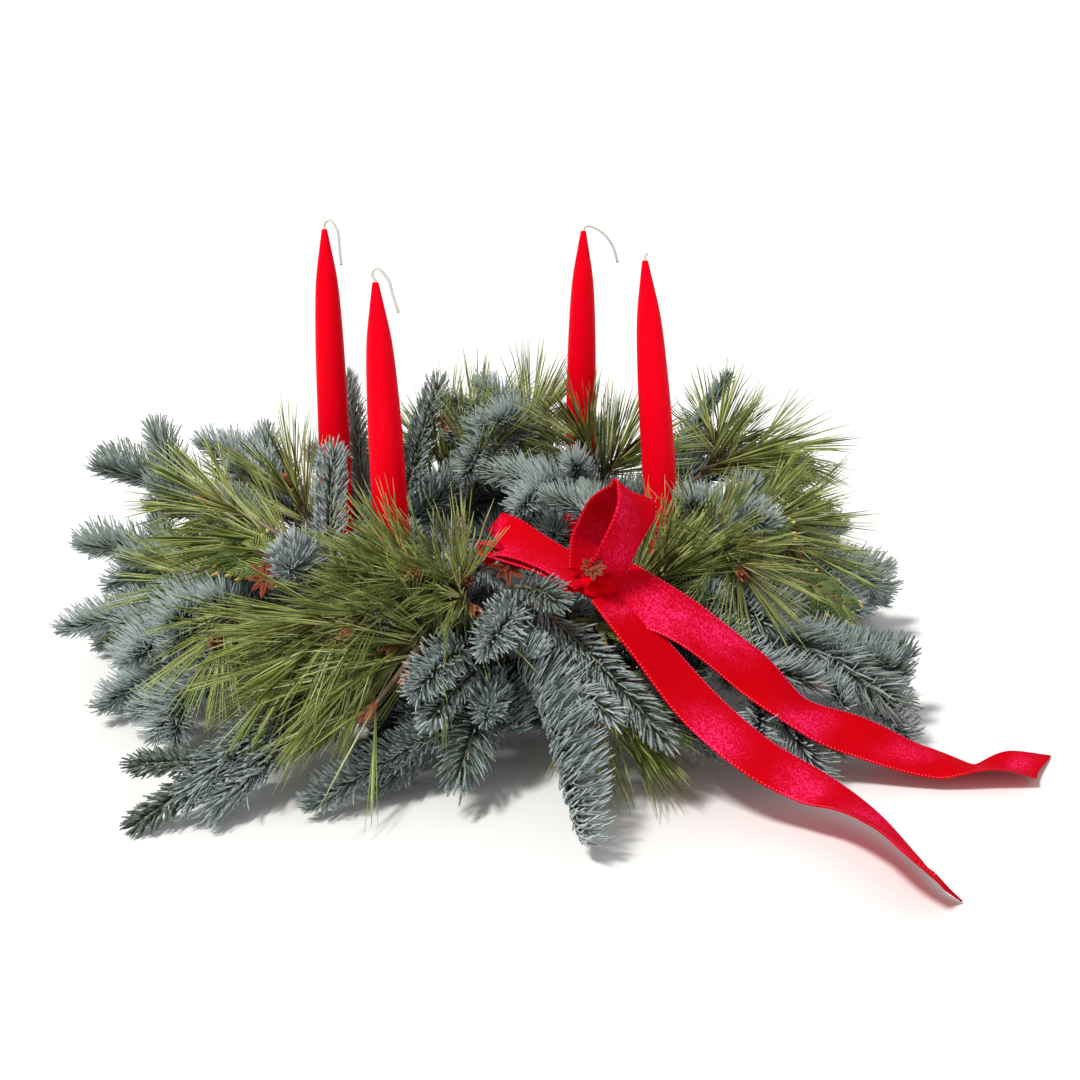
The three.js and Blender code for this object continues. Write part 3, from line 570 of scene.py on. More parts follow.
@dataclass(frozen=True)
class WaxFinish:
    """Dipped wax: one strong colour with a soft gloss and faint waves down its length."""

    name: str
    light: Colour = (255, 0, 32)
    deep: Colour = (240, 0, 24)
    cloud_scale: float = 40.0
    roughness: float = 0.35
    wave_depth: float = 2 * MM
    glow_depth: Place = (6 * MM, 1 * MM, 1 * MM)

    def make(self) -> bpy.types.Material:
        """Makes the material.

        Returns:
            The material.
        """
        n = Nodes(self.name)
        cloud = n.noise(n.place(), self.cloud_scale, 3.0)
        return n.finish({
            "Base Color": n.mix(cloud, self.deep, self.light), "Roughness": cloud * 0.15 + self.roughness,
            "Normal": n.bump(cloud, 0.2, self.wave_depth), "Specular IOR Level": 0.03,
            "Subsurface Weight": 0.08, "Subsurface Radius": self.glow_depth})


@dataclass(frozen=True)
class GrainFinish:
    """A plain stuff with a soft grain: wire, tin, cotton, husk or thread."""

    name: str
    low: Colour
    high: Colour
    roughness: float
    metallic: float = 0.0
    scale: float = 300.0
    depth: float = 0.0004

    def make(self) -> bpy.types.Material:
        """Makes the material.

        Returns:
            The material.
        """
        n = Nodes(self.name)
        grain = n.noise(n.place(), self.scale, 4.0, 0.6)
        return n.finish({
            "Base Color": n.mix(grain, self.low, self.high), "Metallic": self.metallic,
            "Roughness": grain * 0.2 + (self.roughness - 0.1), "Normal": n.bump(grain, 0.4, self.depth)})


Finish = NeedleFinish | VelvetFinish | WaxFinish | GrainFinish
BARE_WIRE = ((96, 98, 92), (140, 142, 134))
FINISHES = {
    "fir_needles": NeedleFinish(
        "fir_needles", ((48, 60, 48), (128, 144, 134), (180, 192, 191), (222, 230, 236)), (176, 192, 196),
        (42, 54, 42), ((84, 66, 52), (150, 146, 112)), ((150, 96, 62), (196, 160, 120))),
    "pine_needles": NeedleFinish(
        "pine_needles", ((30, 42, 14), (108, 130, 48), (170, 184, 96), (222, 228, 166)), (176, 188, 118),
        (128, 112, 60), ((98, 80, 62), (150, 126, 104)), ((140, 80, 52), (204, 136, 100)), 0.4),
    "cedar_fronds": NeedleFinish(
        "cedar_fronds", ((50, 72, 34), (88, 112, 52), (130, 148, 72), (176, 186, 108)), (140, 158, 96),
        (70, 84, 44), ((96, 74, 48), (130, 106, 72)), ((176, 150, 58), (214, 190, 92))),
    "ribbon_velvet": VelvetFinish("ribbon_velvet"),
    "candle_wax": WaxFinish("candle_wax"),
    "wick_cotton": GrainFinish("wick_cotton", (196, 190, 182), (240, 238, 232), 0.9, scale=900.0),
    "cup_tin": GrainFinish("cup_tin", (128, 130, 124), (160, 162, 156), 0.45, 0.9),
    "ring_wire": GrainFinish("ring_wire", *BARE_WIRE, 0.5, 0.9),
    "binding_wire": GrainFinish("binding_wire", (30, 54, 34), (52, 82, 54), 0.5, 0.5),
    "tie_wire": GrainFinish("tie_wire", *BARE_WIRE, 0.5, 0.9),
    "pod_husk": GrainFinish("pod_husk", (84, 34, 22), (176, 82, 50), 0.75, scale=260.0, depth=0.0008),
}
STITCH = GrainFinish("edge_stitch", (226, 50, 84), (250, 130, 152), 0.8, scale=900.0)


@cache
def material_of(finish: Finish) -> bpy.types.Material:
    """The material of a finish, made once."""
    return finish.make()


# ---------------------------------------------------------------- meshes
def in_scene(name: str, data: bpy.types.ID) -> bpy.types.Object:
    """Puts a mesh, lamp or camera into the scene.

    Args:
        name: The object's name.
        data: What it shows.

    Returns:
        The object, at the origin.
    """
    shown = bpy.data.objects.new(name, data)
    bpy.context.scene.collection.objects.link(shown)
    return shown


def dress(mesh: bpy.types.Mesh, name: str, slot: str, nodes: Sequence[str],
          finish: Finish | None = None) -> bpy.types.Object:
    """Puts a finished mesh into the scene as a piece of the wreath.

    Args:
        mesh: The mesh, already in place.
        name: The piece's name.
        slot: The material slot, whose finish the piece takes.
        nodes: The CAD nodes that it stands for.
        finish: Its finish, where that isn't the slot's own.

    Returns:
        The piece.
    """
    piece = in_scene(name, mesh)
    mesh.materials.append(material_of(finish or FINISHES[slot]))
    mesh.polygons.foreach_set("use_smooth", np.ones(len(mesh.polygons), bool))
    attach(piece, BODY)
    if nodes:
        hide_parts(*nodes)
    log.info("%s: %d faces", name, len(mesh.polygons))
    return piece


def mesh_of(bm: bmesh.types.BMesh, name: str) -> bpy.types.Mesh:
    """Makes a mesh of a bmesh.

    Args:
        bm: The bmesh, which is freed.
        name: The mesh's name.

    Returns:
        The mesh.
    """
    mesh = bpy.data.meshes.new(name)
    bm.to_mesh(mesh)
    bm.free()
    return mesh


def turned(outline: Sequence[tuple[float, float]], steps: int) -> bmesh.types.BMesh:
    """Turns an outline of (radius, height) about Z.

    Args:
        outline: The points, from the axis or back to the first.
        steps: Faces round the axis.

    Returns:
        A closed shape whose faces point out.
    """
    bm = bmesh.new()
    verts = [bm.verts.new((radius, 0, height)) for radius, height in outline]
    edges = [bm.edges.new(pair) for pair in zip(verts, verts[1:])]
    bmesh.ops.spin(bm, geom=verts + edges, cent=(0, 0, 0), axis=(0, 0, 1), angle=2 * math.pi, steps=steps,
                   use_merge=True, use_duplicate=False)
    bmesh.ops.remove_doubles(bm, verts=bm.verts, dist=1e-6)
    bmesh.ops.recalc_face_normals(bm, faces=bm.faces)
    return bm


def swept(points: Array, radius: float | Array, sides: int, closed: bool = False) -> bmesh.types.BMesh:
    """A round bar along a line of points.

    Args:
        points: The centreline, one point in each row.
        radius: The bar's radius, or one for each point.
        sides: Faces round the bar.
        closed: True where the line ends in its first point.

    Returns:
        The closed shape.
    """
    ahead = unit(np.gradient(points, axis=0))
    if closed:
        ahead[0] = ahead[-1] = unit(points[1] - points[-2])
    sizes = np.broadcast_to(radius, len(points))
    bm = bmesh.new()
    ring = bmesh.ops.create_circle(bm, segments=sides, radius=1.0)["verts"]
    first = ring
    turn = Vector((0, 0, 1)).rotation_difference(Vector(ahead[0]))
    bmesh.ops.transform(bm, verts=ring, matrix=Matrix.LocRotScale(Vector(points[0]), turn, (sizes[0],) * 3))
    for before, after, was, now, here, there in zip(ahead, ahead[1:], sizes, sizes[1:], points, points[1:]):
        edges = [e for e in {e for v in ring for e in v.link_edges} if all(v in ring for v in e.verts)]
        new = bmesh.ops.extrude_edge_only(bm, edges=edges)["geom"]
        ring = [g for g in new if isinstance(g, bmesh.types.BMVert)]
        turn = Vector(before).rotation_difference(Vector(after)).to_matrix().to_4x4()
        grown = Matrix.Translation(there) @ turn @ Matrix.Scale(now / was, 4)
        bmesh.ops.transform(bm, verts=ring, matrix=grown @ Matrix.Translation(-Vector(here)))
    if closed:
        bmesh.ops.remove_doubles(bm, verts=first + ring, dist=1e-5)
    else:
        bmesh.ops.holes_fill(bm, edges=[e for e in bm.edges if e.is_boundary], sides=sides)
    bmesh.ops.recalc_face_normals(bm, faces=bm.faces)
    return bm


class Bar:
    """A small bar along z, from 0 to 1, whose copies are bent into needles, scales and stitches."""

    def __init__(self, rings: Sequence[tuple[float, float]], sides: int) -> None:
        """Builds the bar by extruding one capped ring.

        Args:
            rings: The (place along z, share of the full width) of each ring.
            sides: Faces round the bar. A bar of 3 has a flat upper face and a keel.
        """
        bm = bmesh.new()
        bmesh.ops.create_circle(bm, cap_ends=True, segments=sides, radius=1.0,
                                matrix=Matrix.Rotation(math.pi, 4, "Z"))
        cap = next(iter(bm.faces))
        z, size = 0.0, 1.0
        for index, (to, wide) in enumerate(rings):
            if index:
                cap = next(g for g in bmesh.ops.extrude_face_region(bm, geom=[cap])["geom"]
                           if isinstance(g, bmesh.types.BMFace))
            grown = Matrix.Diagonal((wide / size, wide / size, 1, 1))
            bmesh.ops.transform(bm, verts=cap.verts, matrix=Matrix.Translation((0, 0, to - z)) @ grown)
            z, size = to, wide
        bmesh.ops.recalc_face_normals(bm, faces=bm.faces)
        bm.verts.index_update()
        self.coords = np.array([v.co for v in bm.verts])
        self.sizes = np.array([len(f.verts) for f in bm.faces])
        self.corners = np.array([loop.vert.index for f in bm.faces for loop in f.loops])
        under = np.array([f.normal.y < -0.1 for f in bm.faces for _ in f.loops])
        # The small shares of x and y spread each copy a little, so that no face is a line on the shade map.
        x, y, along = self.coords[self.corners].T
        self.tones = np.column_stack((0.008 * x, np.clip(along, 0.02, 0.98) + 0.02 * y, under))
        bm.free()


NEEDLE = Bar(((0, 0.7), (0.35, 1.0), (0.75, 1.0), (1.0, 0.55)), 3)
SHORT_NEEDLE = Bar(((0, 0.75), (0.5, 1.0), (1.0, 0.6)), 3)
LONG_NEEDLE = Bar(((0, 0.8), (0.35, 1.0), (0.75, 0.9), (1.0, 0.15)), 3)
STEM = Bar(tuple((i / 8, 1 - 0.55 * i / 8) for i in range(9)), 6)
BUD = Bar(((0, 0.6), (0.3, 1.0), (0.7, 0.8), (1.0, 0.15)), 5)
LEAF = Bar(((0, 0.7), (0.5, 1.0), (1.0, 0.4)), 4)


class Thicket:
    """Gathers bent copies of bars, and makes one mesh of them with its shade map."""

    def __init__(self) -> None:
        """Starts empty."""
        self.points: list[Array] = []
        self.corners: list[Array] = []
        self.sizes: list[Array] = []
        self.tones: list[Array] = []
        self.count = 0

    def grow(self, bar: Bar, root: Array, lead: Array, bend: Array, facing: Array, width: Any, depth: Any,
             shade: Any, zone: Zone = Zone.NEEDLE) -> None:
        """Adds a copy of the bar for each root, along root + t * lead + t * t * bend.

        Args:
            bar: The bar.
            root: Where each copy starts, one in each row, as are the next three.
            lead: Which way and how far it starts off.
            bend: How it bends from there.
            facing: What its flat face looks to.
            width: Its half width.
            depth: Its half thickness.
            shade: Its place on the shade map, from 0 dark to 1 pale.
            zone: The band of the shade map that it takes.
        """
        many = len(root)
        if not many:
            return
        x, y, t = bar.coords.T
        shape = (many, len(t), 3)
        way = unit(lead[:, None] + 2 * t[None, :, None] * bend[:, None])
        side = unit(np.cross(way, np.broadcast_to(facing[:, None], shape)))
        out = np.cross(side, way)
        wide = np.broadcast_to(width, many)[:, None, None] * x[None, :, None]
        deep = np.broadcast_to(depth, many)[:, None, None] * y[None, :, None]
        line = root[:, None] + t[None, :, None] * lead[:, None] + (t * t)[None, :, None] * bend[:, None]
        self.points.append((line + side * wide + out * deep).reshape(-1, 3))
        offset = self.count + len(t) * np.arange(many)[:, None]
        self.corners.append((bar.corners[None] + offset).ravel())
        self.sizes.append(np.tile(bar.sizes, many))
        self.count += many * len(t)
        across, along, under = bar.tones.T
        low, tall = zone.value
        u = np.clip(np.broadcast_to(shade, many), 0.02, 0.98)[:, None] + across[None]
        v = low + tall * along + (UNDER_BAND * under if zone is Zone.NEEDLE else 0.0)
        self.tones.append(np.stack((u, np.broadcast_to(v, u.shape)), axis=-1).reshape(-1, 2))

    def mesh(self, name: str) -> bpy.types.Mesh:
        """Makes one mesh of the gathered copies.

        Args:
            name: The mesh's name.

        Returns:
            The mesh, with its shade map.
        """
        points, corners = np.concatenate(self.points), np.concatenate(self.corners)
        sizes, tones = np.concatenate(self.sizes), np.concatenate(self.tones)
        mesh = bpy.data.meshes.new(name)
        mesh.vertices.add(len(points))
        mesh.vertices.foreach_set("co", points.ravel())
        mesh.loops.add(len(corners))
        mesh.loops.foreach_set("vertex_index", corners)
        mesh.polygons.add(len(sizes))
        mesh.polygons.foreach_set("loop_start", np.concatenate(([0], np.cumsum(sizes)[:-1])))
        mesh.uv_layers.new(name=SHADE_MAP).data.foreach_set("uv", tones.ravel())
        mesh.update(calc_edges=True)
        return mesh


# ---------------------------------------------------------------- places
class Ground:
    """The wreath's own axes in the part's frame. Every place on the wreath is found from here."""

    def __init__(self) -> None:
        """Finds the middle of the wire ring."""
        low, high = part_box("wire_ring_frame")
        self.centre = np.array(((low.x + high.x) / 2, (low.y + high.y) / 2, 0.0))

    def spot(self, place: Sequence[float]) -> Array:
        """The point at an azimuth, radius and height."""
        angle = math.radians(place[0])
        return self.at((place[1] * math.cos(angle), place[1] * math.sin(angle), place[2]))

    def at(self, point: Sequence[float]) -> Array:
        """The point at x, y and z millimetres from the middle of the ring on the table."""
        return self.centre + MM * np.array(point, float)


def through(points: Array, shares: Array) -> Array:
    """Draws a smooth line, a centripetal Catmull-Rom spline, through points.

    Args:
        points: The points, one in each row.
        shares: Where to read the line, from 0 to 1, each span between points being an equal part.

    Returns:
        The places at those shares, one in each row.
    """
    ends = np.vstack((2 * points[0] - points[1], points, 2 * points[-1] - points[-2]))
    place = np.clip(shares, 0, 1) * (len(points) - 1)
    span = np.minimum(place.astype(int), len(points) - 2)
    w = (place - span)[:, None]
    a, b, c, d = (ends[span + i] for i in range(4))
    gaps = [np.sqrt(np.linalg.norm(q - p, axis=1, keepdims=True)) for p, q in ((a, b), (b, c), (c, d))]
    g0, g1, g2 = (np.maximum(g, 1e-6) for g in gaps)
    leave = ((b - a) / g0 - (c - a) / (g0 + g1) + (c - b) / g1) * g1
    reach = ((c - b) / g1 - (d - b) / (g1 + g2) + (d - c) / g2) * g1
    return b + leave * w + (3 * (c - b) - 2 * leave - reach) * w**2 + (2 * (b - c) + leave + reach) * w**3


def from_line(points: Array, foot: Array, top: Array, start: float = 0.0) -> Array:
    """Measures how far points lie from a straight line.

    Args:
        points: The points, the last axis being x, y and z.
        foot: Where the line starts.
        top: Where it ends.
        start: The share of it that is measured from, where that isn't its foot.

    Returns:
        The distance of each point.
    """
    rise = top - foot
    share = np.clip(((points - foot) @ rise) / (rise @ rise), start, 1)
    return np.linalg.norm(points - foot - share[..., None] * rise, axis=-1)


def around(turn: Array, level: Array, over: Array) -> Array:
    """The directions at angles round an axis, from level towards over."""
    return np.cos(turn)[:, None] * level + np.sin(turn)[:, None] * over


@dataclass(frozen=True)
class Run:
    """One line along a ribbon: its points, and at each the directions across, ahead and out of the cloth."""

    line: Array
    across: Array
    ahead: Array
    out: Array

    @property
    def travel(self) -> Array:
        """How far along the line each point is, in metres."""
        return np.concatenate(([0], np.cumsum(np.linalg.norm(np.diff(self.line, axis=0), axis=1))))


class RibbonPath:
    """The way that a ribbon takes. Its near edge is cut off before its far edge by a share of the length."""

    def __init__(self, ground: Ground, stops: Sequence, steps: int, slant: float = 0.0) -> None:
        """Samples the stops.

        Args:
            ground: The wreath's axes.
            stops: The (place, direction across) of each stop.
            steps: Samples along the whole line.
            slant: The share by which the near edge is shorter.
        """
        self.places = np.array([ground.at(place) for place, _ in stops])
        self.ways = np.array([way for _, way in stops], float)
        self.steps, self.slant = steps, slant
        self.middle = self.run(-1.0)

    def run(self, side: float) -> Run:
        """Follows one line along the ribbon.

        Args:
            side: Where the line runs, from -1 for the far edge to 1 for the near edge.

        Returns:
            The line and its directions at each step.
        """
        shares = np.linspace(0, 1, self.steps + 1) * (1 - self.slant * (side + 1) / 2)
        line = through(self.places, shares)
        ahead = unit(np.gradient(line, axis=0))
        across = through(self.ways, shares)
        across = unit(across - (across * ahead).sum(1, keepdims=True) * ahead)
        return Run(line, across, ahead, np.cross(across, ahead))

    @property
    def length(self) -> float:
        """The ribbon's length in metres."""
        return float(self.middle.travel[-1])


# ---------------------------------------------------------------- what the needles keep clear of
@dataclass
class Clearings:
    """The room that candles and ribbons take, which no needle enters.

    axes are the candles, from foot to top, strips are ribbons with the room below and above them, balls
    are places with the room round them, and heads are the lines of sight that long needles leave open.
    under_foot is where a candle's room starts, as a share of its length.
    """

    candle_room: float = 12.2 * MM
    ribbon_half: float = 20.0 * MM
    head_room: float = 19 * MM
    lowest: float = -2 * MM
    under_foot: float = -0.1
    axes: list[tuple[Array, Array]] = field(default_factory=list)
    strips: list[tuple[RibbonPath, float, float]] = field(default_factory=list)
    balls: list[tuple[Array, float]] = field(default_factory=list)
    heads: list[tuple[Array, Array]] = field(default_factory=list)

    def off_heads(self, points: Array) -> Array:
        """Finds the long needles that don't hide the head of a fir twig that lies on top.

        Args:
            points: Places on each needle, as (needles, places, 3).

        Returns:
            True for each of them.
        """
        clear = np.ones(len(points), bool)
        for foot, top in self.heads:
            clear &= (from_line(points, foot, top) > self.head_room).all(axis=1)
        return clear

    def free(self, points: Array) -> Array:
        """Finds the needles that are clear of candles, ribbons and the table.

        Args:
            points: Places on each needle, as (needles, places, 3).

        Returns:
            True for each needle that touches nothing.
        """
        flat = points.reshape(-1, 3)
        clear = flat[:, 2] > self.lowest
        for foot, top in self.axes:
            clear &= from_line(flat, foot, top, self.under_foot) > self.candle_room
        for path, below, above in self.strips:
            step = path.length / path.steps
            run = path.middle
            for at, across, ahead, out in zip(run.line, run.across, run.ahead, run.out):
                gap = flat - at
                height = gap @ out
                near = (np.abs(gap @ ahead) < step) & (np.abs(gap @ across) < self.ribbon_half)
                clear &= ~(near & (height > -below) & (height < above))
        for middle, reach in self.balls:
            clear &= np.linalg.norm(flat - middle, axis=1) > reach
        return clear.reshape(points.shape[:2]).all(axis=1)


# ---------------------------------------------------------------- greenery
@dataclass
class Twig:
    """A twig's axis, a quadratic line that leaves its root for its middle, and what grows on it.

    girth is how far its needles reach, comb is true where they stand in two ranks, and dim is how much
    darker they are than the sprig's own: painted shade on the bedding and on the twigs that fill gaps, and
    the greener own tone of some comb tips.
    """

    root: Array
    middle: Array
    tip: Array
    girth: float
    comb: bool = False
    dim: float = 0.0

    @property
    def lead(self) -> Array:
        """Which way and how far the axis starts off."""
        return 2 * (self.middle - self.root)

    @property
    def bend(self) -> Array:
        """How the axis bends from there."""
        return self.root - 2 * self.middle + self.tip

    @property
    def length(self) -> float:
        """The axis's length in metres."""
        line = self.at(np.linspace(0, 1, 17))
        return float(np.linalg.norm(np.diff(line, axis=0), axis=1).sum())

    def at(self, share: Array) -> Array:
        """Points at shares of the axis."""
        share = np.asarray(share)[..., None]
        return self.root + share * self.lead + share**2 * self.bend

    def ahead(self, share: Array) -> Array:
        """The axis's direction at shares of it."""
        return unit(self.lead + 2 * np.asarray(share)[..., None] * self.bend)


@dataclass
class Greenery:
    """Grows the sprigs.

    A fir needle's length is a share of its twig's girth, and a comb is a fir twig with two ranks. The
    spreads are the bounds, or the usual size, of what is drawn by chance.
    """

    ground: Ground
    clearings: Clearings
    table_gap: float = 1 * MM
    patch_size: float = 30 * MM
    patch_shade: float = 0.12
    fir_per_metre: int = 3700
    fir_reach: float = 1.25
    fir_angle: float = 32.0
    fir_spread: tuple[float, float] = (0.86, 1.08)
    fir_angle_spread: float = 5.0
    fir_shade_spread: float = 0.1
    fir_half_width: float = 0.74 * MM
    fir_half_thick: float = 0.45 * MM
    # The share of fir needles that get a short, dark twin as painted shade.
    fir_shade_needle_share: float = 0.3
    fir_wood: float = 1.9 * MM
    comb_reach: float = 1.1
    comb_density: float = 0.6
    comb_angle: float = 57.0
    comb_wood: float = 1.3 * MM
    pine_per_bud: int = 170
    pine_bundle: int = 5
    pine_needle: float = 66 * MM
    pine_half_width: float = 0.58 * MM
    pine_half_thick: float = 0.4 * MM
    pine_spread: tuple[float, float] = (0.84, 1.06)
    pine_angle: float = 13.0
    pine_shade_spread: float = 0.3
    pine_reach: float = 50 * MM
    pine_leafy: float = 45 * MM
    pine_wood: float = 2.6 * MM
    bud_scales: int = 14
    cedar_pitch: float = 3.0 * MM
    cedar_leaf: float = 26 * MM
    cedar_forks: int = 9
    cedar_cone_share: float = 0.7
    cedar_wood: float = 1.5 * MM
    least_forked: float = 85 * MM
    least_girth: float = 12 * MM
    shoot_length: float = 52 * MM
    shoot_girth: float = 0.8
    shoot_lowest: float = 6 * MM
    bed_girth: float = 17 * MM
    bed_painted_shade: float = 0.35
    foot_wood: float = 2.4 * MM
    foot_places: tuple[float, float, float] = (132, 122, 26)
    seed: int = 11
    rng: np.random.Generator = field(init=False)

    def build(self, sprigs: Sequence[Sprig]) -> None:
        """Grows every sprig as a piece.

        Args:
            sprigs: The sprigs.
        """
        for place in HEADS:
            head = self.ground.spot(place)
            self.clearings.heads.append((head, head + np.array(HEAD_SIGHT) * MM))
        for index, plan in enumerate(sprigs):
            self.rng = np.random.default_rng(self.seed + index)
            thicket = Thicket()
            grow = {Kind.FIR: self.fir, Kind.PINE: self.pine, Kind.CEDAR: self.cedar}[plan.kind]
            for twig in self.twigs(plan):
                grow(thicket, plan, twig)
            self.foot(thicket, plan)
            dress(thicket.mesh(plan.name), plan.name + "_sprig", plan.kind.value, [plan.name])

    def twigs(self, plan: Sprig) -> list[Twig]:
        """Lays out the twigs of a sprig.

        Args:
            plan: The sprig.

        Returns:
            Its stem, side twigs, shoots and bedding.
        """
        start, to, lift, girth = plan.stem
        root, tip = self.ground.spot(start), self.ground.spot(to)
        stem = Twig(root, (root + tip) / 2 + UP * lift * MM, tip, girth * MM)
        made = [self.twig(plan.kind, root, tip, lift, girth)]
        for leaves, to, lift, girth, *dim in plan.sides:
            root = self.ground.spot(leaves) if isinstance(leaves, tuple) else stem.at(leaves)
            made.append(self.twig(plan.kind, root, self.ground.spot(to), lift, girth))
            made[-1].dim = sum(dim)
        for index in plan.combs:
            made[index].comb = True
        if plan.kind is not Kind.FIR:
            return made
        return made + (self.shoots(made) if plan.forked else []) + self.bedding(plan)

    def bedding(self, plan: Sprig) -> list[Twig]:
        """Lays out the short twigs along the ring that are bound in with a sprig, darkened as painted shade.

        Args:
            plan: The sprig.

        Returns:
            The twigs, whose painted shade fills the dark underneath it.
        """
        azimuth = plan.stem[0][0]
        made = []
        for turn, radius, height in BED:
            root, tip = (self.ground.spot((azimuth + way * turn, radius, height)) for way in (-1, 1.4))
            made.append(Twig(root, (root + tip) / 2 + 6 * MM * UP, tip, self.bed_girth, dim=self.bed_painted_shade))
        return made

    def shoots(self, twigs: list[Twig]) -> list[Twig]:
        """Lays out the shorter shoots that leave the longer fir twigs to both sides and close their gaps.

        Args:
            twigs: The twigs that may carry shoots.

        Returns:
            The shoots.
        """
        made = []
        for twig in twigs:
            if twig.comb or twig.length < self.least_forked or twig.girth < self.least_girth:
                continue
            for share, side in SHOOTS:
                ahead, level, over = (x[0] for x in self.frame(twig, np.array([share])))
                aside, above = self.rng.uniform(0.5, 0.9), self.rng.uniform(-0.2, 0.35)
                root = twig.at(share)
                reach = min(0.4 * twig.length, self.shoot_length) * self.rng.uniform(0.8, 1.1)
                tip = root + unit(ahead + side * level * aside + over * above) * reach
                tip[2] = max(tip[2], self.shoot_lowest)
                girth = self.shoot_girth * twig.girth
                made.append(Twig(root, (root + tip) / 2 + 3 * MM * UP, tip, girth, dim=twig.dim))
        return made

    def twig(self, kind: Kind, root: Array, tip: Array, lift: float, girth: float) -> Twig:
        """Lays out one twig. A pine twig's axis goes on past its bud, as far as its needles do.

        Args:
            kind: The greenery.
            root: Where it starts.
            tip: Where it ends.
            lift: How far its middle lies over the straight line, in millimetres.
            girth: How far its needles reach, in millimetres.

        Returns:
            The twig.
        """
        middle = (root + tip) / 2 + UP * lift * MM
        past = self.pine_reach if kind is Kind.PINE else 0.0
        return Twig(root, middle, tip + unit(tip - middle) * past, girth * MM)

    def plant(self, thicket: Thicket, bar: Bar, root: Array, lead: Array, bend: Array, facing: Array,
              width: Any, depth: Any, shade: Any, zone: Zone = Zone.NEEDLE) -> None:
        """Adds the bars that are clear of candles and ribbons, and lifts those that would enter the table.

        Args:
            thicket: What the bars are added to.
            bar: The bar. Its copies are given as for Thicket.grow.
            root: Where each copy starts.
            lead: Which way and how far it starts off.
            bend: How it bends from there.
            facing: What its flat face looks to.
            width: Its half width.
            depth: Its half thickness.
            shade: Its place on the shade map.
            zone: The band of the shade map that it takes.
        """
        tip = (root + lead + bend)[:, 2]
        half = (root + lead / 2 + bend / 4)[:, 2]
        lift = np.maximum(np.maximum(self.table_gap - tip, 4 * (self.table_gap - half)), 0)
        bend = bend + lift[:, None] * UP
        steps = np.array((0.0, 0.35, 0.7, 1.0))[None, :, None]
        points = root[:, None] + steps * lead[:, None] + steps**2 * bend[:, None]
        free = self.clearings.free(points) | (zone is Zone.WOOD)
        if bar is LONG_NEEDLE:
            free &= self.clearings.off_heads(points)
        width, depth, shade = (np.broadcast_to(x, len(root))[free] for x in (width, depth, shade))
        thicket.grow(bar, root[free], lead[free], bend[free], facing[free], width, depth, shade, zone)

    def foot(self, thicket: Thicket, plan: Sprig) -> None:
        """Grows the bare end of the stem, which is bound to the outer or inner wire of the ring.

        Args:
            thicket: What the wood is added to.
            plan: The sprig.
        """
        azimuth, radius, _ = plan.stem[0]
        outer, inner, height = self.foot_places
        bound = self.ground.spot((azimuth, outer if radius > RING_RADIUS else inner, height))
        root = self.ground.spot(plan.stem[0])
        self.stem(thicket, Twig(root, (root + bound) / 2, bound, 1.0), 1.0, self.foot_wood)

    def stem(self, thicket: Thicket, twig: Twig, share: float, thick: float, shade: float = 0.3) -> None:
        """Grows the wood of a twig.

        Args:
            thicket: What the wood is added to.
            twig: The twig.
            share: How much of its axis the wood takes.
            thick: The wood's radius at its foot.
            shade: Its place on the shade map.
        """
        one = np.ones((1, 1))
        self.plant(thicket, STEM, twig.root * one, twig.lead * share * one, twig.bend * share**2 * one,
                   UP * one, thick, thick, shade, Zone.WOOD)

    @staticmethod
    def frame(twig: Twig, share: Array, facing: Sequence[float] = (0, 0, 1)) -> tuple[Array, Array, Array]:
        """Finds the directions at shares of a twig.

        Args:
            twig: The twig.
            share: The shares of its axis.
            facing: What its upper side looks to.

        Returns:
            The directions ahead, level and over, over being the upper side's.
        """
        ahead = twig.ahead(share)
        level = unit(np.cross(ahead, np.array(facing, float)))
        return ahead, level, np.cross(level, ahead)

    def patches(self, points: Array) -> Array:
        """Slow changes of shade from place to place, from -1 to 1."""
        x, y, z = (points / self.patch_size).T
        return np.sin(x + 1.7 * np.sin(y)) * np.sin(y + 1.3 * np.sin(z)) * 0.6 + 0.4 * np.sin(2.3 * z + x)

    def fir(self, thicket: Thicket, plan: Sprig, twig: Twig) -> None:
        """Grows a fir twig: blunt needles that lie along it at their foot and then bend out and up.

        Args:
            thicket: What the needles are added to.
            plan: The sprig.
            twig: The twig.
        """
        rng, comb, swept = self.rng, twig.comb, plan.swept
        length = (self.comb_reach if comb else self.fir_reach) * twig.girth
        far = 1 - 0.35 * length / twig.length
        many = int(twig.length * self.fir_per_metre * (self.comb_density if comb else 1.0))
        share = 0.04 + (far - 0.04) * (np.arange(many) + rng.random(many)) / many
        near_tip = np.clip(1 - (far - share) * twig.length / (0.8 * length), 0, 1)
        ahead, level, over = self.frame(twig, share, plan.facing if comb else (0, 0, 1))
        turn = GOLDEN_ANGLE * np.arange(many) + rng.normal(0, 0.12, many)
        height = np.sin(turn) * 0.3 + 0.1 if comb else np.sin(turn)
        radial = unit(np.cos(turn)[:, None] * level + height[:, None] * over)
        full = length * (1 - 0.28 * near_tip) * (1 - 0.15 * swept)
        size = (full * rng.uniform(*self.fir_spread, many))[:, None]
        stray = rng.normal(0, 0.03 + 0.05 * swept, (many, 3))
        if comb:
            opening = self.comb_angle - 38 * near_tip**1.5
            bend = size * (0.22 * ahead - 0.1 * radial + 0.1 * over + 1.5 * stray)
        else:
            opening = self.fir_angle + 16 * swept - (20 + 14 * swept) * near_tip
            spread = (0.42 - 0.3 * near_tip) * (1 - swept) - 0.55 * swept * (1 - near_tip)
            bend = size * (spread[:, None] * radial - 0.1 * ahead + np.array(plan.lay) + stray)
        start = np.radians(opening + rng.normal(0, self.fir_angle_spread, many))[:, None]
        lead = size * (radial * np.sin(start) + ahead * np.cos(start))
        root = twig.at(share) + radial * 0.8 * MM
        # A twig's dim is painted shade on filling twigs, and the greener own tone of some comb tips.
        shade = plan.shade - twig.dim + self.patch_shade * self.patches(root)
        shade = shade + rng.normal(0, self.fir_shade_spread, many)
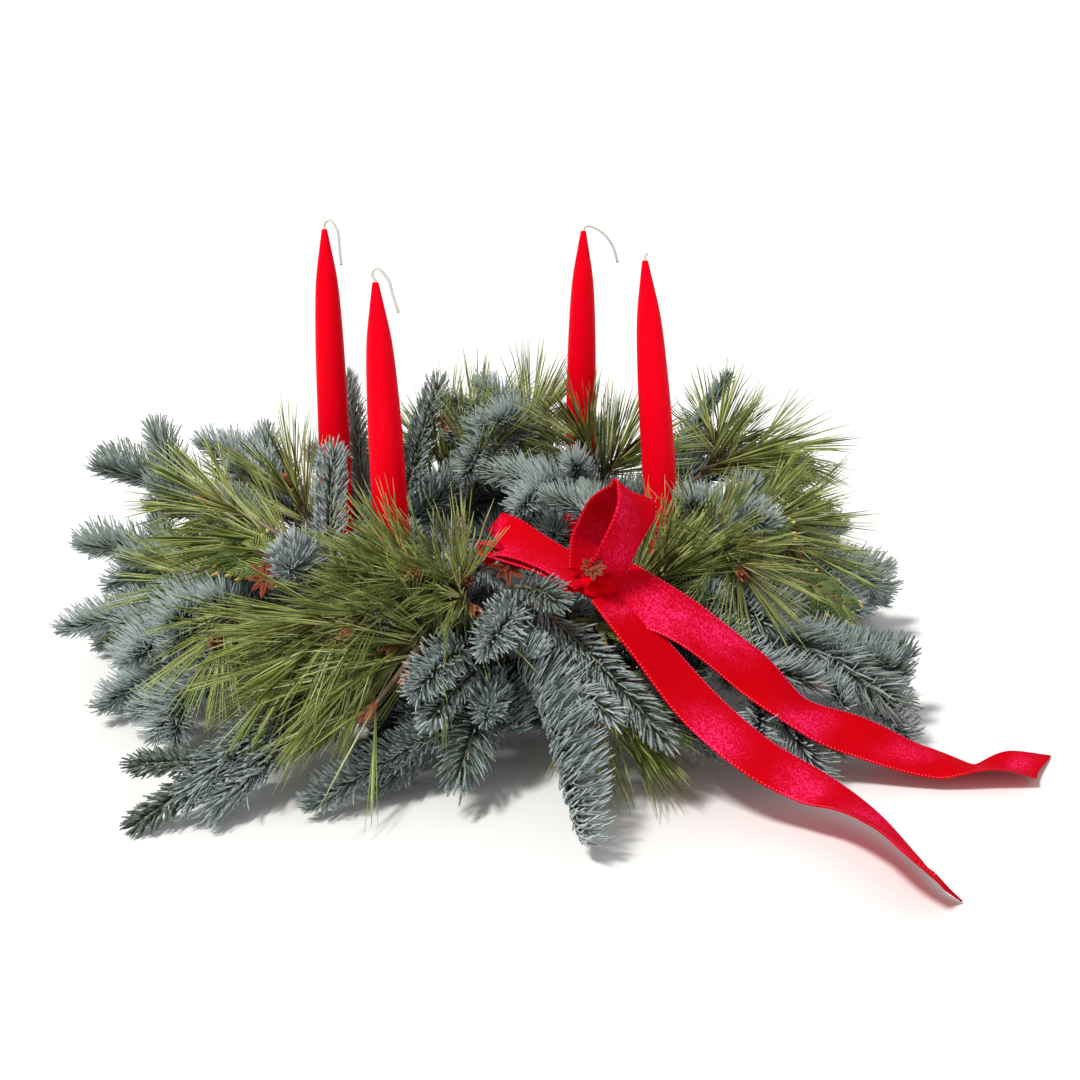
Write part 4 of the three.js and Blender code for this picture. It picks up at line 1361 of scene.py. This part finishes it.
        self.stem(thicket, twig, far, self.comb_wood if comb else self.fir_wood, 0.7 if comb else 0.1)
        bar = SHORT_NEEDLE if plan.forked else NEEDLE
        facing = over if comb else radial
        self.plant(thicket, bar, root, lead, bend, facing, self.fir_half_width, self.fir_half_thick, shade)
        # Short, wide needles in the darkest tone: painted shade deep in the twig.
        inner = rng.random(many) < self.fir_shade_needle_share
        self.plant(thicket, SHORT_NEEDLE, root[inner], 0.55 * lead[inner], 0.3 * bend[inner], facing[inner],
                   1.5 * self.fir_half_width, 0.5 * MM, 0.02)

    def pine(self, thicket: Thicket, plan: Sprig, twig: Twig) -> None:
        """Grows a pine twig: long needles in bundles before a bud of narrow scales.

        Args:
            thicket: What the needles are added to.
            plan: The sprig.
            twig: The twig.
        """
        rng, per = self.rng, self.pine_bundle
        bud = 1 - 0.97 * self.pine_reach / twig.length
        leafy = self.pine_leafy / twig.length
        many = self.pine_per_bud // per
        back = np.repeat(rng.random(many) ** 1.3, per)
        share = bud - back * min(leafy, bud - 0.05)
        turn = np.repeat(rng.uniform(0, 2 * math.pi, many), per) + rng.normal(0, 0.12, many * per)
        opening = np.repeat(self.pine_angle + 24 * np.sqrt(rng.random(many)), per) + 12 * back
        tilt = np.radians(opening + rng.normal(0, 2.5, many * per))[:, None]
        ahead, level, over = self.frame(twig, share)
        radial = around(turn, level, over)
        keep = (np.sin(turn) < 0.45) | (back > 0.35) | (rng.random(len(turn)) < 0.3)
        size = (self.pine_needle * rng.uniform(*self.pine_spread, many * per))[:, None]
        lead = size * (radial * np.sin(tilt) + ahead * np.cos(tilt))
        bend = size * (rng.normal(0, 0.035, (many * per, 3)) - 0.04 * UP)
        root = twig.at(share) + radial * 1.2 * MM
        shade = plan.shade + self.patch_shade * self.patches(root)
        shade = shade + rng.normal(0, self.pine_shade_spread, many * per)
        self.plant(thicket, LONG_NEEDLE, root[keep], lead[keep], bend[keep], radial[keep],
                   self.pine_half_width, self.pine_half_thick, shade[keep])
        self.stem(thicket, twig, bud, self.pine_wood)
        self.bud(thicket, twig, bud)

    def bud(self, thicket: Thicket, twig: Twig, place: float) -> None:
        """Grows the bud of a pine twig.

        Args:
            thicket: What the scales are added to.
            twig: The twig.
            place: Where on its axis the bud stands.
        """
        rng, scales = self.rng, self.bud_scales
        share = np.full(scales, place)
        ahead, level, over = self.frame(twig, share)
        turn = GOLDEN_ANGLE * np.arange(scales)
        radial = around(turn, level, over)
        start = twig.at(share) - ahead * 3 * MM + radial * 1.4 * MM
        lead = ahead * rng.uniform(8, 15, (scales, 1)) * MM + radial * rng.uniform(0.5, 3, (scales, 1)) * MM
        self.plant(thicket, BUD, start, lead, -0.2 * radial * MM, radial, 1.6 * MM, 1.0 * MM,
                   rng.random(scales), Zone.BUD)

    def cedar(self, thicket: Thicket, plan: Sprig, twig: Twig) -> None:
        """Grows a cedar twig: a flat spray, twice branched, with small cones.

        Args:
            thicket: What the leaves are added to.
            plan: The sprig.
            twig: The twig.
        """
        rng = self.rng
        pairs = int(twig.length / self.cedar_pitch)
        share = 0.25 + 0.73 * np.arange(pairs) / pairs
        ahead, level, over = self.frame(twig, share, plan.facing)
        way = np.where(np.arange(pairs) % 2, 1.0, -1.0)[:, None]
        swell = np.sin(np.pi * np.clip(share, 0.3, 0.97)) ** 0.6
        size = (self.cedar_leaf * swell * rng.uniform(0.7, 1.1, pairs))[:, None]
        lead = size * (0.72 * ahead + 0.66 * way * level + rng.normal(0, 0.08, (pairs, 3)))
        bend = size * (0.18 * ahead - 0.2 * UP)
        root = twig.at(share)
        shade = plan.shade + rng.normal(0, 0.15, pairs)
        self.stem(thicket, twig, 0.98, self.cedar_wood)
        self.plant(thicket, LEAF, root, lead, bend, over, 0.7 * MM, 0.5 * MM, shade)
        for step in np.linspace(0.18, 0.95, self.cedar_forks):
            for turn in (-1.0, 1.0):
                start = root + step * lead + step**2 * bend
                along = unit(lead + 2 * step * bend)
                side = unit(np.cross(along, over))
                reach = size * (0.42 - 0.3 * step) * rng.uniform(0.8, 1.2, (pairs, 1))
                fork = reach * (0.75 * along + 0.6 * turn * side)
                self.plant(thicket, LEAF, start, fork, reach * 0.15 * along, over, 0.55 * MM, 0.45 * MM,
                           shade + rng.normal(0, 0.1, pairs))
        cones = rng.random(pairs) < self.cedar_cone_share
        tips = (root + lead + bend)[cones] - 1.5 * MM * over[cones]
        aim = unit(lead[cones]) * 4 * MM
        self.plant(thicket, BUD, tips, aim, aim * 0, over[cones], 1.5 * MM, 1.5 * MM,
                   rng.random(cones.sum()), Zone.BUD)


# ---------------------------------------------------------------- ring and candles
@dataclass
class RingFrame:
    """The wire ring that the stems are bound to, and the wire that binds them. Wires are given as radii."""

    ground: Ground
    radius: float = RING_RADIUS * MM
    height: float = RING_HEIGHT * MM
    half_spacing: float = 7 * MM
    wire: float = RING_WIRE * MM
    wire_sides: int = 12
    ring_steps: int = 128
    crossbars: int = 8
    crossbar: float = 1.5 * MM
    crossbar_sides: int = 10
    coil: float = 10.3 * MM
    turns: int = 19
    turn_angle: float = 18.0
    turn_steps: int = 20
    binding: float = 0.6 * MM
    binding_sides: int = 6

    def build(self) -> None:
        """The ring and the wire wound round it."""
        whole = bmesh.new()
        for offset in (-self.half_spacing, self.half_spacing):
            angle = np.linspace(0, 2 * math.pi, self.ring_steps + 1)
            circle = self.line(angle, self.radius + offset, self.height)
            self.join(whole, swept(circle, self.wire, self.wire_sides, closed=True))
        for index in range(self.crossbars):
            azimuth = FIRST_CANDLE + 360 / self.crossbars * index
            ends = [self.ground.spot((azimuth, (self.radius + side * self.half_spacing) / MM, RING_HEIGHT))
                    for side in (-1, 0, 1)]
            self.join(whole, swept(np.array(ends), self.crossbar, self.crossbar_sides))
        dress(mesh_of(whole, "ring"), "ring_frame_wires", "ring_wire", ["wire_ring_frame"])
        share = np.linspace(0, 1, self.turns * self.turn_steps + 1)
        azimuth = np.radians(FIRST_CANDLE + self.turn_angle / 4 + share * self.turns * self.turn_angle)
        around = 2 * math.pi * share * self.turns
        out, up = self.coil * np.cos(around), self.coil * np.sin(around)
        coil = self.line(azimuth, self.radius + out, self.height + up)
        wound = swept(coil, self.binding, self.binding_sides)
        dress(mesh_of(wound, "binding"), "binding_wire_coil", "binding_wire", ["binding_wire"])

    def line(self, angle: Array, radius: Array | float, height: Array | float) -> Array:
        """Draws a line round the wreath's axis.

        Args:
            angle: The angle of each point, in radians.
            radius: How far from the axis it lies.
            height: How high it lies.

        Returns:
            The points, one in each row.
        """
        level = np.broadcast_to(height, len(angle))
        return self.ground.centre + np.column_stack((radius * np.cos(angle), radius * np.sin(angle), level))

    @staticmethod
    def join(whole: bmesh.types.BMesh, part: bmesh.types.BMesh) -> None:
        """Adds a part to a bmesh.

        Args:
            whole: The bmesh that grows.
            part: The bmesh that is added, which is freed.
        """
        mesh = mesh_of(part, "part")
        whole.from_mesh(mesh)
        bpy.data.meshes.remove(mesh)


@dataclass
class CandleStand:
    """One dipped candle in its tin cup on the ring, in millimetres. half is its radius at the foot."""

    ground: Ground
    clearings: Clearings
    at: str
    azimuth: float
    length: float
    lean: tuple[float, float]
    wick: tuple[Place, ...]
    bore: float = 11.4
    wall: float = 0.9
    cup_height: float = 22.0
    floor: float = 1.2
    gap: float = 0.35
    half: float = 11.0
    wick_radius: float = 0.9
    wick_root: float = 6.0
    clear_above: float = 12.0
    round_steps: int = 48
    taper_steps: int = 56

    def build(self) -> None:
        """The cup, the candle and its wick."""
        foot = self.ground.spot((self.azimuth, RING_RADIUS, RING_HEIGHT + RING_WIRE + self.gap))
        across = Vector((*self.lean, 0))
        towards = Vector((*self.lean, math.sqrt(self.length**2 - across.length_squared))).normalized()
        turn = Vector((0, 0, 1)).rotation_difference(towards).to_matrix().to_4x4()
        place = Matrix.Translation(foot) @ turn @ Matrix.Scale(MM, 4)
        seat = place @ Matrix.Translation((0, 0, self.floor + self.gap))
        outlines = self.cup_outline(), self.taper_outline()
        cup, taper = (turned(outline, self.round_steps) for outline in outlines)
        for name, slot, node, shape, matrix in (
            ("candle_cup_tin_", "cup_tin", "candle_cup_", cup, place),
            ("candle_taper_", "candle_wax", "candle_", taper, seat),
            ("candle_wick_", "wick_cotton", "wick_", self.wick_shape(), seat),
        ):
            bmesh.ops.transform(shape, matrix=matrix, verts=shape.verts)
            dress(mesh_of(shape, name), name + self.at, slot, [node + self.at])
        self.clearings.axes.append((foot, np.array(seat @ Vector((0, 0, self.length + self.clear_above)))))

    def cup_outline(self) -> list[tuple[float, float]]:
        """Draws the cup's section, with a rolled rim.

        Returns:
            The section's points, as (radius, height).
        """
        outer, rim = self.bore + self.wall, self.cup_height
        return [(0, 0), (outer - 0.8, 0), (outer - 0.2, 0.2), (outer, 0.8), (outer, rim - 1.6),
                (outer + 0.3, rim - 1.3), (outer + 0.45, rim - 0.7), (outer + 0.2, rim - 0.1),
                (outer - 0.3, rim), (self.bore, rim - 0.4), (self.bore, self.floor + 0.6),
                (self.bore - 0.6, self.floor), (0, self.floor)]

    def taper_outline(self) -> list[tuple[float, float]]:
        """Draws the candle's section, widest at its foot and drawn in to a point at the top.

        Returns:
            The section's points, as (radius, height).
        """
        top, half = self.length, self.half
        stops = np.array(((0.93 * half, 0), (half, 3), (0.985 * half, 0.25 * top), (0.97 * half, 0.45 * top),
                          (0.86 * half, 0.72 * top), (0.66 * half, top - 34), (0.38 * half, top - 14),
                          (0.17 * half, top - 0.6)))
        line = through(stops, np.linspace(0, 1, self.taper_steps + 1))
        return [(0, 0), *map(tuple, line), (0.1 * half, top), (0, top)]

    def wick_shape(self) -> bmesh.types.BMesh:
        """Shapes the wick, from inside the candle's tip to its free end.

        Returns:
            The closed shape.
        """
        points = np.array([(0, 0, -self.wick_root), *self.wick], float) + np.array((0, 0, self.length))
        line = through(points, np.linspace(0, 1, 6 * len(points)))
        return swept(line, self.wick_radius, 8)


# ---------------------------------------------------------------- bow and pods
@dataclass
class Bow:
    """The ribbon: a left and an upper loop, a knot and two tails, held by a wire."""

    ground: Ground
    clearings: Clearings
    width: float = 38 * MM
    thick: float = 0.9 * MM
    cells_across: int = 12
    loop_steps: int = 72
    tail_steps: int = 140
    front_slant: float = 0.02
    right_slant: float = 0.15
    ripple: float = 0.25 * MM
    ripple_length: float = 11 * MM
    loop_room: tuple[float, float] = (14 * MM, 26 * MM)
    tail_room: tuple[float, float] = (1.5 * MM, 45 * MM)
    knot_place: Place = (286.8, 191, 117)
    knot_size: Place = (11 * MM, 10 * MM, 8 * MM)
    knot_room: float = 15 * MM
    stitch_pitch: float = 2.1 * MM
    stitch_length: float = 1.3 * MM
    stitch_inset: float = 0.5 * MM
    tie_wire: float = 0.6 * MM
    tie_bends: tuple[Place, ...] = ((58, -160, 84), (61, -134, 50))
    tie_foot: Place = (295.8, 134, 21.5)
    knot: Array = field(init=False)

    def build(self) -> None:
        """Every piece of the bow, and the room that it takes."""
        self.knot = self.ground.spot(self.knot_place)
        knot = self.knot_piece()
        for name, stops in (("bow_loop_left", LOOP_LEFT), ("bow_loop_upper", LOOP_UPPER)):
            path = RibbonPath(self.ground, stops, self.loop_steps)
            self.ribbon(name, path, ["ribbon_bow"])
            self.clearings.strips.append((path, *self.loop_room))
        for side, stops, slant, rests in (
            ("front", TAIL_FRONT, self.front_slant, ["fir_front_centre", "fir_front_long"]),
            ("right", TAIL_RIGHT, self.right_slant, ["fir_right_low", "fir_right_under"]),
        ):
            path = RibbonPath(self.ground, stops, self.tail_steps, slant)
            self.ribbon("bow_tail_" + side, path, ["ribbon_tail_" + side])
            self.clearings.strips.append((path, *self.tail_room))
        self.clearings.balls.append((self.knot, self.knot_room))
        self.tie()

    def ribbon(self, name: str, path: RibbonPath, nodes: list[str]) -> None:
        """One run of ribbon with its stitched edges.

        Args:
            name: The piece's name.
            path: The line that it follows.
            nodes: The CAD nodes that it stands for.
        """
        bm = bmesh.new()
        bmesh.ops.create_grid(bm, x_segments=self.cells_across, y_segments=path.steps, size=0.5)
        runs = [path.run(2 * column / self.cells_across - 1) for column in range(self.cells_across + 1)]
        travels = [run.travel for run in runs]
        crush = bm.verts.layers.float.new(SHEEN_PATCH)
        for vert in bm.verts:
            share, side = vert.co.y + 0.5, vert.co.x * 2
            row, column = round(share * path.steps), round((vert.co.x + 0.5) * self.cells_across)
            run = runs[column]
            phase = travels[column][row] / self.ripple_length + 2 * side
            wave = self.ripple * math.sin(phase) * (1 - side**4)
            vert.co = Vector(run.line[row] + run.across[row] * side * self.width / 2 + run.out[row] * wave)
            # Painted sheen: pinker patches at the listed places along the run.
            vert[crush] = sum(
                force * math.exp(-((share - at) / (0.75 * reach)) ** 2 - 1.5 * (side - over) ** 2)
                for at, over, reach, force in SHEEN_PATCHES[name])
        bmesh.ops.recalc_face_normals(bm, faces=bm.faces)
        piece = dress(mesh_of(bm, name), name, "ribbon_velvet", nodes)
        wall = piece.modifiers.new("thickness", "SOLIDIFY")
        wall.thickness, wall.offset = self.thick, 0
        stitches = self.stitches(name, path)
        area = self.width * path.length * (1 - path.slant / 2)
        path.length

    def stitches(self, name: str, path: RibbonPath) -> bpy.types.Object:
        """The pale stitches along both edges of a run.

        Args:
            name: The name of the run's piece.
            path: The line that it follows.

        Returns:
            The stitches, as one piece.
        """
        thicket = Thicket()
        for side in (-1, 1):
            run = path.run(side)
            travel = np.arange(0.5 * self.stitch_pitch, run.travel[-1], self.stitch_pitch)
            at, across, ahead, out = (
                np.column_stack([np.interp(travel, run.travel, rows[:, axis]) for axis in range(3)])
                for rows in (run.line, run.across, run.ahead, run.out))
            root = at + side * across * (self.width / 2 - self.stitch_inset) - ahead * 0.6 * MM
            thicket.grow(BUD, root, ahead * self.stitch_length, ahead * 0, out, 0.5 * MM, 0.75 * MM, 0.5)
        return dress(thicket.mesh(name + "_stitches"), name + "_stitches", "ribbon_velvet", [], STITCH)

    def knot_piece(self) -> bpy.types.Object:
        """Makes the knot, a gathered band of ribbon.

        Returns:
            The piece.
        """
        bm = bmesh.new()
        bmesh.ops.create_icosphere(bm, subdivisions=4, radius=1.0)
        for vert in bm.verts:
            fold = 1 + 0.07 * math.sin(9 * vert.co.z + 3 * vert.co.x) + 0.03 * math.sin(17 * vert.co.y)
            half = [c * size * fold for c, size in zip(vert.co, self.knot_size)]
            vert.co = Vector(self.knot) + Vector(half)
        return dress(mesh_of(bm, "knot"), "bow_knot", "ribbon_velvet", ["ribbon_bow"])

    def tie(self) -> None:
        """The wire from the knot to the ring."""
        foot = self.ground.spot(self.tie_foot)
        stops = np.array([self.knot, *(self.ground.at(point) for point in self.tie_bends), foot])
        line = through(stops, np.linspace(0, 1, 33))
        dress(mesh_of(swept(line, self.tie_wire, 8), "tie"), "bow_tie_twist", "tie_wire", ["bow_tie_wire"])


@dataclass
class StarPods:
    """The stars of narrow seed cases, split open, with seeds in the middle."""

    ground: Ground
    rays: int = 8
    seeds: int = 5
    seed_depth: float = 2 * MM
    seed_length: float = 5 * MM
    seed: int = 5

    def build(self) -> None:
        """Every pod."""
        rng = np.random.default_rng(self.seed)
        for name, (place, tilt, reach) in PODS.items():
            turn = np.array((Matrix.Rotation(math.radians(tilt[0]), 3, "X")
                             @ Matrix.Rotation(math.radians(tilt[1]), 3, "Y")))
            middle = self.ground.spot(place)
            angle = 2 * math.pi * (np.arange(self.rays) + rng.uniform(-0.12, 0.12, self.rays)) / self.rays
            flat = np.column_stack((np.cos(angle), np.sin(angle), 0 * angle))
            side = np.column_stack((-np.sin(angle), np.cos(angle), 0 * angle))
            size = reach * MM * (1 - 0.12 * (np.arange(self.rays) % 3))[:, None]
            thicket = Thicket()
            for lip in (-1.0, 1.0):
                root = flat * 1.2 * MM + lip * side * 0.5 * MM
                lead = size * (0.92 * flat + lip * 0.22 * side)
                bend = size * (-0.26 * lip * side + 0.2 * UP)
                out = UP * 0.8 - lip * side
                root, lead, bend, out = (rows @ turn.T for rows in (root, lead, bend, out))
                thicket.grow(BUD, root + middle, lead, bend, out, 1.5 * MM, 0.8 * MM, rng.random(self.rays))
            hub = np.tile(-self.seed_depth * UP, (self.seeds, 1)) @ turn.T + middle
            spread = unit(rng.normal(0, 0.4, (self.seeds, 3)) + UP) @ turn.T * self.seed_length
            thicket.grow(BUD, hub, spread, spread * 0, np.roll(spread, 1, axis=1), 2.2 * MM, 2.0 * MM, 0.5)
            dress(thicket.mesh(name), name + "_husk", "pod_husk", [name])


# ---------------------------------------------------------------- studio
@dataclass
class Studio:
    """The pale table, the soft light and the camera at the photograph's angle.

    right, over and ahead are the camera's own axes, and key_spread is how wide the light is, in degrees.
    """

    ground: Ground
    lens: float = 56.67
    sensor: float = 36.0
    eye: Place = (0, -1075, 453)
    right: Place = (0.99966, -0.02618, 0.0)
    over: Place = (0.00857, 0.3271, 0.9449)
    ahead: Place = (0.02474, 0.9446, -0.3272)
    key_from: Place = (-0.5, -0.5, 1.1)
    key_spread: float = 9.0
    key_strength: float = 2.9
    key_colour: Colour = (255, 253, 249)
    sky_strength: float = 0.5
    table_half: float = 40.0
    table_white: Colour = (244, 244, 244)

    def build(self) -> None:
        """Everything that isn't the wreath."""
        scene = bpy.context.scene
        scene.view_settings.view_transform = "Standard"
        self.camera()
        self.table()
        self.key()
        world = bpy.data.worlds.new("soft sky")
        scene.world = world
        world.use_nodes = True
        sky = world.node_tree.nodes["Background"].inputs
        sky["Color"].default_value, sky["Strength"].default_value = (1, 1, 1, 1), self.sky_strength

    def camera(self) -> None:
        """The camera."""
        data = bpy.data.cameras.new("camera")
        data.lens, data.sensor_width, data.clip_start, data.clip_end = self.lens, self.sensor, 0.01, 200.0
        camera = in_scene("camera", data)
        axes = Matrix((self.right, self.over, [-c for c in self.ahead])).transposed().to_4x4()
        camera.matrix_world = Matrix.Translation(self.ground.at(self.eye)) @ axes
        bpy.context.scene.camera = camera

    def table(self) -> None:
        """The pale floor."""
        bm = bmesh.new()
        bmesh.ops.create_grid(bm, x_segments=1, y_segments=1, size=self.table_half)
        floor = in_scene("table", mesh_of(bm, "table"))
        white = Nodes("table_white").finish({"Base Color": linear(self.table_white), "Roughness": 0.9})
        floor.data.materials.append(white)

    def key(self) -> None:
        """The wide, even light from the front left."""
        data = bpy.data.lights.new("key", "SUN")
        data.angle, data.energy = math.radians(self.key_spread), self.key_strength
        data.color = linear(self.key_colour)[:3]
        lamp = in_scene("key", data)
        lamp.location = self.key_from
        lamp.rotation_mode = "QUATERNION"
        lamp.rotation_quaternion = (-Vector(self.key_from)).to_track_quat("-Z", "Y")


def main() -> None:
    logging.basicConfig(level=logging.INFO, format="%(name)s %(message)s")
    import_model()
    ground = Ground()
    clearings = Clearings()
    RingFrame(ground).build()
    for at, (azimuth, length, lean, wick) in CANDLES.items():
        CandleStand(ground, clearings, at, azimuth, length, lean, wick).build()
    Bow(ground, clearings).build()
    StarPods(ground).build()
    Greenery(ground, clearings).build(SPRIGS)
    Studio(ground).build()


if __name__ == "__main__":
    main()
